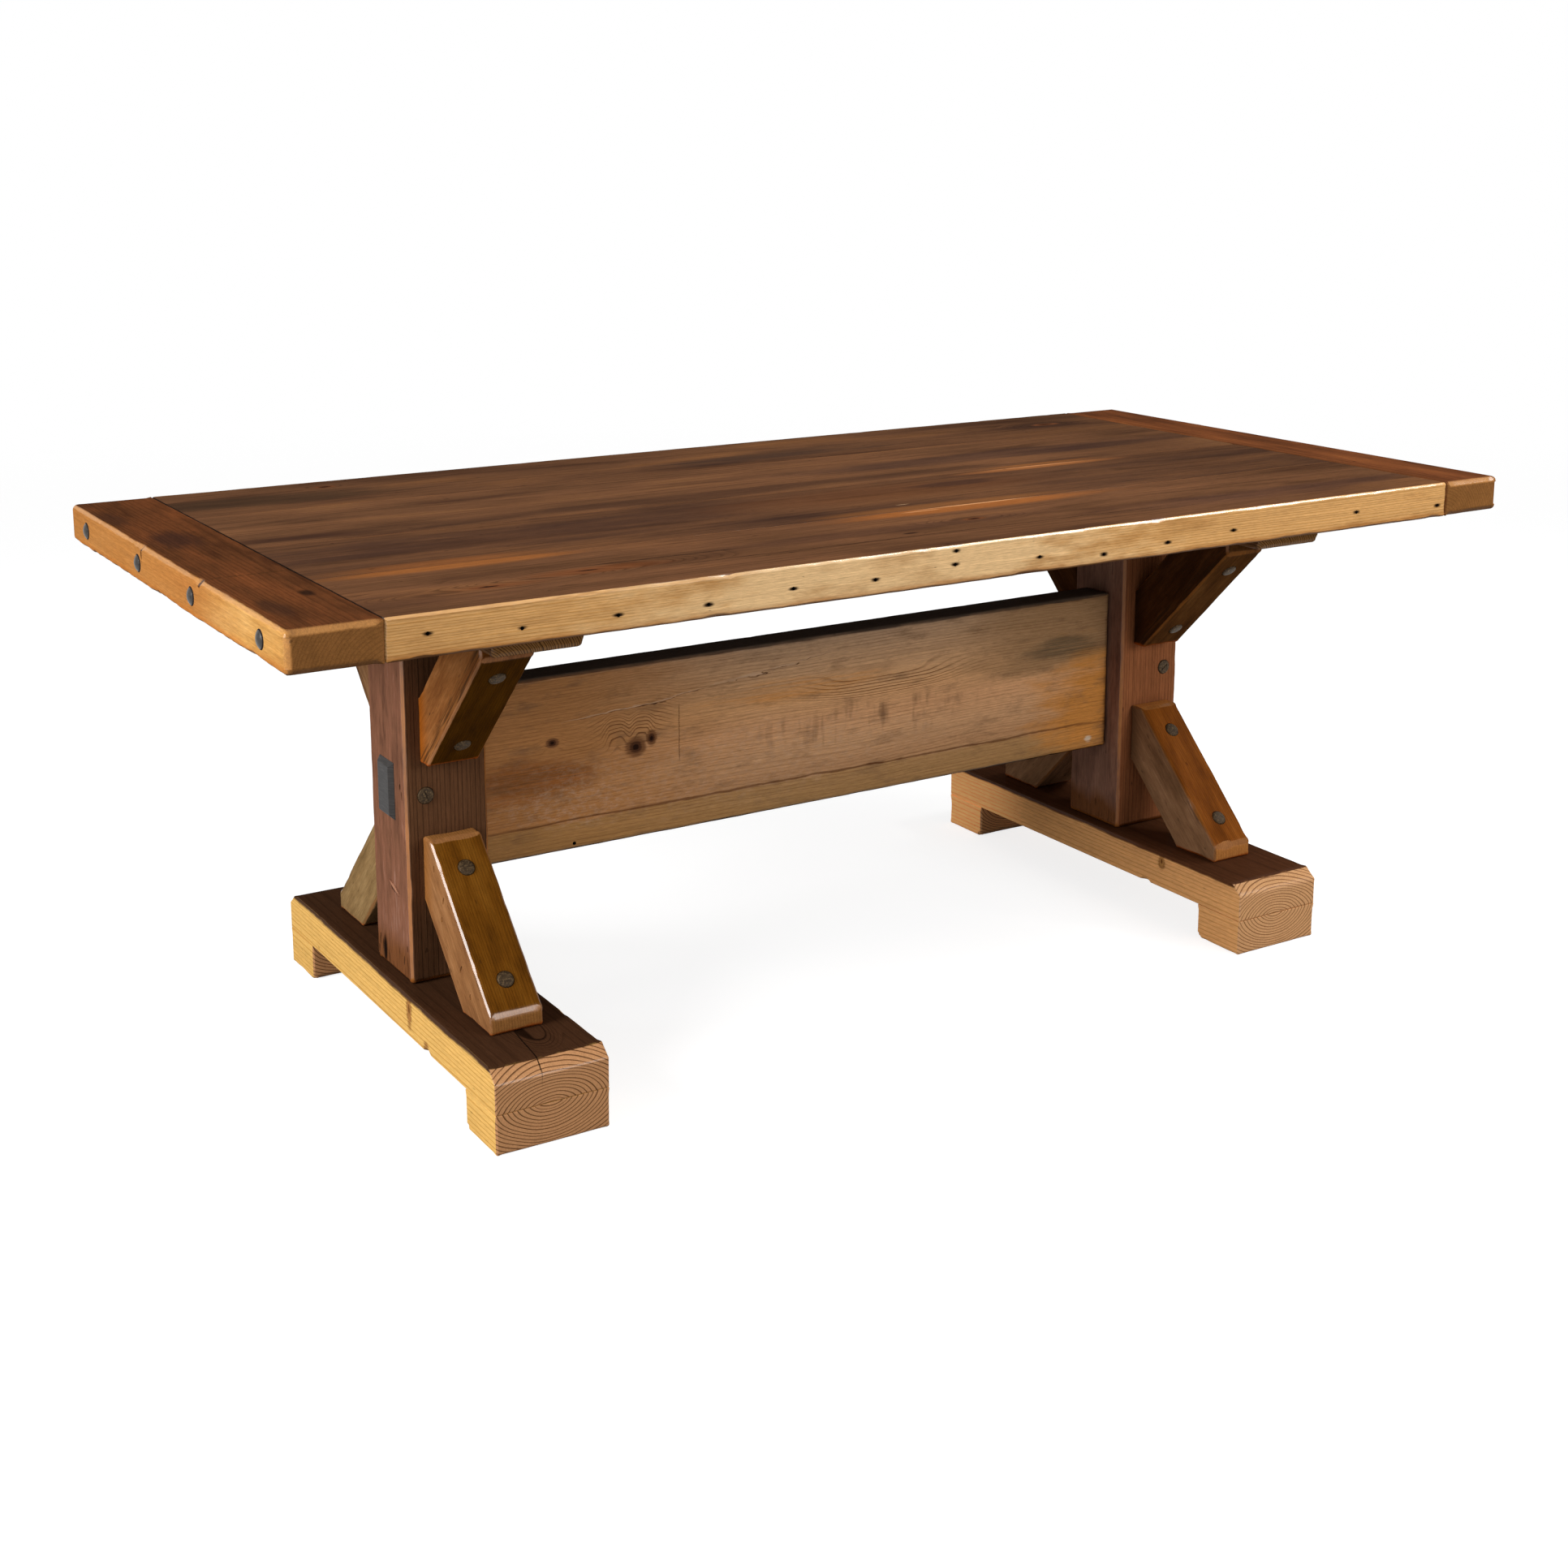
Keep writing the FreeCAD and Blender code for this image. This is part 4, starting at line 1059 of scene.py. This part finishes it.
# Each plank: the pith's place across and depth, four tones, then its knots, its stains and its splits.
planks = (
    (-0.36, 0.25, ("#4a2f20", "#60402a", "#6c4830", "#7d5334"),
     [(-574, -363, 0.22, 1.0, 3, 22, 46), (68, -334, 0.35, 1.0, 4, 14, 32),
      (-724, -387, 0.2, 1.0, 3, 20, 42)],
     [(-574, -363, 0.2, 1.0, 22, "#7c4523", 0.5), (-724, -387, 0.2, 1.0, 18, "#7c4523", 0.5),
      (-690, -246, 0.08, 0.8, 16, "#a5632f", 0.6), (130, -248, 0.07, 0.7, 20, "#a5622f", 0.7),
      (150, -235, 0.07, 1.8, 8, "#d79a67", 0.85), (40, -244, 0.16, 1.8, 6, "#cf9260", 0.7),
      (-75, -377, 0.35, 1.2, 5, "#2a1a14", 0.85), (68, -334, 0.3, 1.0, 9, "#83552f", 0.5),
      (-850, -400, 0.2, 0.8, 40, "#4a3022", 0.5), (700, -400, 0.1, 1.0, 40, "#46302a", 0.5),
      (-100, -340, 0.08, 1.0, 26, "#472f24", 0.5)],
     [(Vector((0.02, 1, 0)), -348.0, 1.5, Vector((-560, -350, top_mm)), Vector((-330, -350, top_mm))),
      (Vector((0.012, 1, 0)), -398.0, 1.1, Vector((-520, -398, top_mm)), Vector((420, -398, top_mm)))]),
    (-0.10, 0.30, ("#3f2a20", "#523727", "#60402b", "#704a2f"), [],
     [(-590, -110, 0.17, 0.8, 56, "#3d2922", 0.55), (80, -90, 0.2, 0.8, 60, "#6d4429", 0.5),
      (226, -68, 0.3, 1.0, 24, "#3a2721", 0.6), (-700, -218, 0.08, 0.7, 16, "#985a2c", 0.45),
      (120, -218, 0.06, 0.7, 14, "#a06636", 0.4), (45, -185, 0.25, 3.0, 3, "#d2ab80", 0.9),
      (440, -2, 0.08, 1.8, 8, "#d79a67", 0.8), (450, -8, 0.08, 0.9, 14, "#a8693a", 0.6)], []),
    (0.16, 0.22, ("#4b3022", "#62422c", "#704b32", "#7e5636"), [],
     [(-150, 40, 0.05, 1.0, 32, "#3f2a20", 0.6), (450, 14, 0.08, 1.2, 10, "#a0622f", 0.4),
      (500, 130, 0.07, 1.0, 40, "#443029", 0.5)], []),
    (0.38, 0.28, ("#442b1d", "#593b28", "#67452e", "#764e30"),
     [(-641, 425, 0.5, 1.0, 5, 7, 18), (765, 376, 0.35, 1.0, 6, 14, 34)],
     [(-760, 355, 0.2, 1.0, 50, "#3c2d20", 0.6), (140, 335, 0.16, 1.0, 46, "#362a25", 0.65),
      (760, 370, 0.3, 1.0, 36, "#3c2820", 0.6)], []))
for order, (pith_y, pith_deep, tones, knots, stains, splits) in enumerate(planks):
    node = "top_plank_" + str(order + 1)
    low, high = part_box(node)
    low = Vector((inner_left, low.y, low.z))
    high = Vector((inner_right, high.y, high.z))

    def plank_edges(corner):
        # Seams stay tight: only the arris along an outer long edge is eased by its full amount.
        # The right ends have worn a little wider.
        if meets(abs(corner.y), cad_high.y):
            return 1.0
        return wide_seam_share if meets(corner.x, inner_right) else seam_share

    def plank_polish(corner):
        return 1.0 if meets(corner.y, cad_low.y) else 0.1
    board = weather(block(low, high), plank_arris, 0.4, 2.2, 60 + order, 0.010, plank_edges, plank_polish)
    nails = []
    holes = None
    if order == 0:
        for place in heads(node, front):
            inside = low.z + plank_arris < place.z < high.z - plank_arris
            if inside and abs(place.x) < inner_right - plank_arris:
                nails.append(place)
        holes = drill(bmesh.new(), nails, front, nail_diameter, nail_depth)
    seams = []
    if order > 0:
        seams.append((front, -low.y * 1000 - 0.7, 0.8, "#241610"))
    if order < 3:
        seams.append((back, high.y * 1000 - 1.8, 0.7, "#9a6238"))
    seams.append((right, inner_right * 1000 - 2.2, 1.0, "#150d08"))
    seams.append((left, inner_right * 1000 - 1.3, 1.0, "#150d08"))
    skin = top_wood("old_waxed_plank_" + str(order + 1), (0, pith_y, table_top - pith_deep), 60 + order,
                    seams, tones, on_top(knots), on_top(stains), nails, splits)
    show(board, node + "_board", [skin, dark], [node], holes)


# End boards: one board crosses the plank ends at each end of the top, bolted through its end face.
# The same old timber, brown on top, with a golden end face, worn arrises and rounded corners.

end_arris = 0.005
corner_share = 1.9
inner_share = 0.3
wide_inner_share = 0.8
bites_y = (0.104, -0.158)
bite_reach = 0.009
end_ring_mm = 5.0
end_face_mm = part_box("breadboard_right")[1].x * 1000


def end_wood(name, pith, seed, outward, tones, stains, marks):
    # Old waxed pine: smudged red-brown top, golden end face with a reddish lower edge, arcs on the ends.
    grown = wood(name, grain_y, pith, end_ring_mm, 16, seed, (), (650, 110), 0.5)
    tree = grown.tree
    cloud = cloudy(tree, grown.along, (190, 45, 45), 5.0, 0.6)
    top = add(tree, "ValToRGB", {"Fac": cloud}, stops=zip((0.28, 0.45, 0.6, 0.78), tones))
    top = shaded(tree, top, grown.late, 1.05, 0.8)
    for middle, squash, size, tone, share in stains:
        top = tinted(tree, top, (spot(grown, middle, squash, size, cloud), share), tone)
    gold = add(tree, "ValToRGB", {"Fac": cloud}, stops=zip((0.3, 0.5, 0.7), gold_tones))
    gold = shaded(tree, gold, grown.late, 1.04, 0.9)
    rear = beyond(grown, back, -240.0, 110.0, 120.0)
    under = beyond(grown, down, -underside_mm - 9, 5.0, 14.0)
    gold = tinted(tree, gold, (rear, 0.8), "#9c6432", (under, 0.7), "#a8662c")
    arcs = shaded(tree, "#84582f", cloud, 1.35, 0.65)
    arcs = shaded(tree, arcs, grown.late, 1.03, 0.86)
    ends = beyond(grown, outward, end_face_mm - 4.5, 2.0, 13.0)
    fronts = facing(grown, back, 0.6, 0.8, both=True)
    below = facing(grown, down, 0.5, 0.8)
    rubbed = add(tree, "Attribute", {}, out="Fac", attribute_name="polished")
    colour = tinted(tree, top, ends, gold, fronts, arcs, below, "#5f4029", (rubbed, 0.55), "#c58a48")
    for middle, squash, size in marks:
        colour = tinted(tree, colour, spot(grown, middle, squash, size, grown.fibre), "#4a2c16")
    return waxed(grown, colour, 0.47, 0.3, 0.12, 0.5, 0.008, 0.45)


gold_tones = ("#a06b35", "#b58548", "#c4985d")
end_looks = {
    "left": (("#412313", "#56321b", "#663a1f", "#7f4826"),
             [(-929, -300, 1.0, 0.5, 11, "#26170f", 0.9), (-970, 125, 0.8, 0.35, 30, "#33201a", 0.7),
              (-990, -360, 1.0, 0.35, 18, "#3f281c", 0.5), (-1000, 320, 1.0, 0.3, 20, "#3a2419", 0.6)],
             [((-end_face_mm, bites_y[0] * 1000, top_mm - 12), (0.0, 1.0, 0.25), 3),
              ((-end_face_mm, bites_y[1] * 1000, top_mm - 5), (0.0, 0.8, 0.8), 5)]),
    "right": (("#462716", "#5e351d", "#6d3e22", "#7f4a27"), [], [])}
for seed, side, outward in ((71, "left", -1), (72, "right", 1)):
    node = "breadboard_" + side
    low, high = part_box(node)
    inner_x = high.x if outward < 0 else low.x

    def end_edges(corner):
        # The left seam to the planks stays tight and the right one is worn open, the outer corners and
        # the right board's outer edges are rounded, and two old bites sit in the left board's upper edge.
        if meets(corner.x, inner_x):
            return inner_share if outward < 0 else wide_inner_share
        if outward > 0 or meets(corner.y, low.y) or meets(corner.y, high.y):
            return corner_share
        near = min(abs(corner.y - bite) for bite in bites_y)
        bitten = corner.z > high.z - 0.001 and near < bite_reach
        return corner_share if bitten else 1.0

    def end_polish(corner):
        return 0.1 if meets(corner.x, inner_x) else 1.0
    board = weather(block(low, high), end_arris, 0.45, 2.4, seed, 0.010, end_edges, end_polish)
    tones, stains, marks = end_looks[side]
    skin = end_wood("old_waxed_end_board_" + side, (inner_x - outward * 0.01, 0, low.z - 0.02), seed,
                    (float(outward), 0.0, 0.0), tones, on_top(stains), marks)
    show(board, node + "_board", [skin], [node])


# End bolts: four black domed heads stand on the end face of each end board.
# Blackened steel, smooth, with a sharp highlight.

steel = mottled("blackened_steel", (300.0, 300.0, 300.0), ("#171310", "#241f1b", "#39322c"), 0.0, 0.32, 0.1,
                0.35)
dome_radius = 0.013
dome_height = 0.005
dome_steps = 8
rim_shadow_from = 0.9
ball = (dome_radius ** 2 + dome_height ** 2) / (2 * dome_height)
radii = [dome_radius * step / dome_steps for step in range(dome_steps + 1)]
dome_profile = [(radius, math.sqrt(ball ** 2 - radius ** 2) - ball) for radius in radii]
dome_profile.append((0.0, -dome_height))
for side, outward in (("left", left), ("right", right)):
    node = "breadboard_bolts_" + side
    places = heads(node, outward)
    domes = turned(dome_profile, places, outward)
    # Painted shadow: the faces round each dome's rim take the near black material.
    for face in domes.faces:
        middle = face.calc_center_median()
        if min((middle - place).length for place in places) > dome_radius * rim_shadow_from:
            face.material_index = 1
    show(domes, node + "_heads", [steel, dark], [node])


# Hidden fixings: dowels between the planks, and the screws of bearers and pads, stay as modelled.
# Plain beech, and bright zinc-plated steel.

beech = mottled("beech_dowel", (500.0, 60.0, 500.0), ("#b88c5e", "#c9a072", "#d6b186"), 0.0, 0.6, 0.2)
zinc = mottled("zinc_plated_screw", (420.0, 420.0, 420.0), ("#7f807c", "#9a9a96", "#b4b4ae"), 1.0, 0.35, 0.2)
for node, skin in (("plank_dowels", beech), ("bearer_screws_left", zinc), ("bearer_screws_right", zinc),
                   ("foot_pad_screws_left", zinc), ("foot_pad_screws_right", zinc)):
    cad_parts[node].data.materials.clear()
    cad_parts[node].data.materials.append(skin)


# Studio: a plain pale floor that keeps the table's shadow and fades into a white room.
# Soft light, mostly from a large window on the left, with weak fills from the front and above.

floor_size = 8.0
fade_from = 2.5
fade_to = 6.5
ground = bmesh.new()
bmesh.ops.create_grid(ground, x_segments=1, y_segments=1, size=floor_size)


def seen(tree):
    # 1 for what the camera sees, straight, in a reflection or through glass, and 0 for light on things.
    kinds = ("Is Camera Ray", "Is Glossy Ray", "Is Transmission Ray")
    camera_ray, glossy_ray, clear_ray = [add(tree, "LightPath", {}, out=kind) for kind in kinds]
    share = add(tree, "Math", {0: camera_ray, 1: glossy_ray}, operation="MAXIMUM")
    return add(tree, "Math", {0: share, 1: clear_ray}, operation="MAXIMUM")


# White paper: matt and even, so that only the shadow shows, and clear far from the table.
paper, tree = fresh("white_paper")
glow = add(tree, "Math", {0: seen(tree), 1: 0.8}, operation="MULTIPLY")
matt = add(tree, "BsdfDiffuse", {"Color": linear("#a8a8a8")})
glow = add(tree, "Emission", {"Color": linear("#ffffff"), "Strength": glow})
matt = add(tree, "AddShader", {0: matt, 1: glow})
place = add(tree, "TexCoord", {}, out="Object")
far = add(tree, "VectorMath", {0: place}, out="Value", operation="LENGTH")
far = add(tree, "MapRange", {"Value": far, "From Min": fade_from, "From Max": fade_to},
          interpolation_type="SMOOTHSTEP")
open_air = add(tree, "BsdfTransparent", {})
faded = add(tree, "MixShader", {0: far, 1: matt, 2: open_air})
add(tree, "OutputMaterial", {"Surface": faded})
floor = solid(ground, "studio_floor", [paper])

world = bpy.data.worlds.new("white_room")
bpy.context.scene.world = world
world.use_nodes = True
tree = world.node_tree
tree.nodes.clear()
lit = add(tree, "MapRange", {"Value": seen(tree), "To Min": 0.32, "To Max": 1.0})
sky = add(tree, "Background", {"Color": linear("#ffffff"), "Strength": lit})
add(tree, "OutputWorld", {"Surface": sky})


def lamp(name, place, aim, size, power):
    data = bpy.data.lights.new(name, "AREA")
    data.shape = "ELLIPSE"
    data.size, data.size_y = size
    data.energy = power
    light = placed(name, data)
    light.location = place
    light.rotation_euler = (Vector(aim) - Vector(place)).to_track_quat("-Z", "Y").to_euler()


lamp("window_light", (-3.7, -0.5, 1.8), (0, 0, 0.4), (1.8, 1.8), 130)
lamp("front_fill", (1.6, -3.8, 2.2), (0, 0, 0.4), (2.4, 2.4), 75)
lamp("top_light", (2.1, -0.9, 3.1), (0, 0, 0.7), (0.8, 2.2), 75)

# Camera: where the photographer stood, in front and to the left, looking a little down.
lens_data = bpy.data.cameras.new("camera")
lens_data.sensor_width = 36
lens_data.lens = 49.47
lens_data.shift_y = -0.15
camera = placed("camera", lens_data)
camera.location = (-1.794, -2.8101, 1.3397)
camera.rotation_euler = (math.radians(90 - 11.409), 0, math.radians(-31.815))
bpy.context.scene.camera = camera
bpy.context.scene.view_settings.view_transform = "Standard"
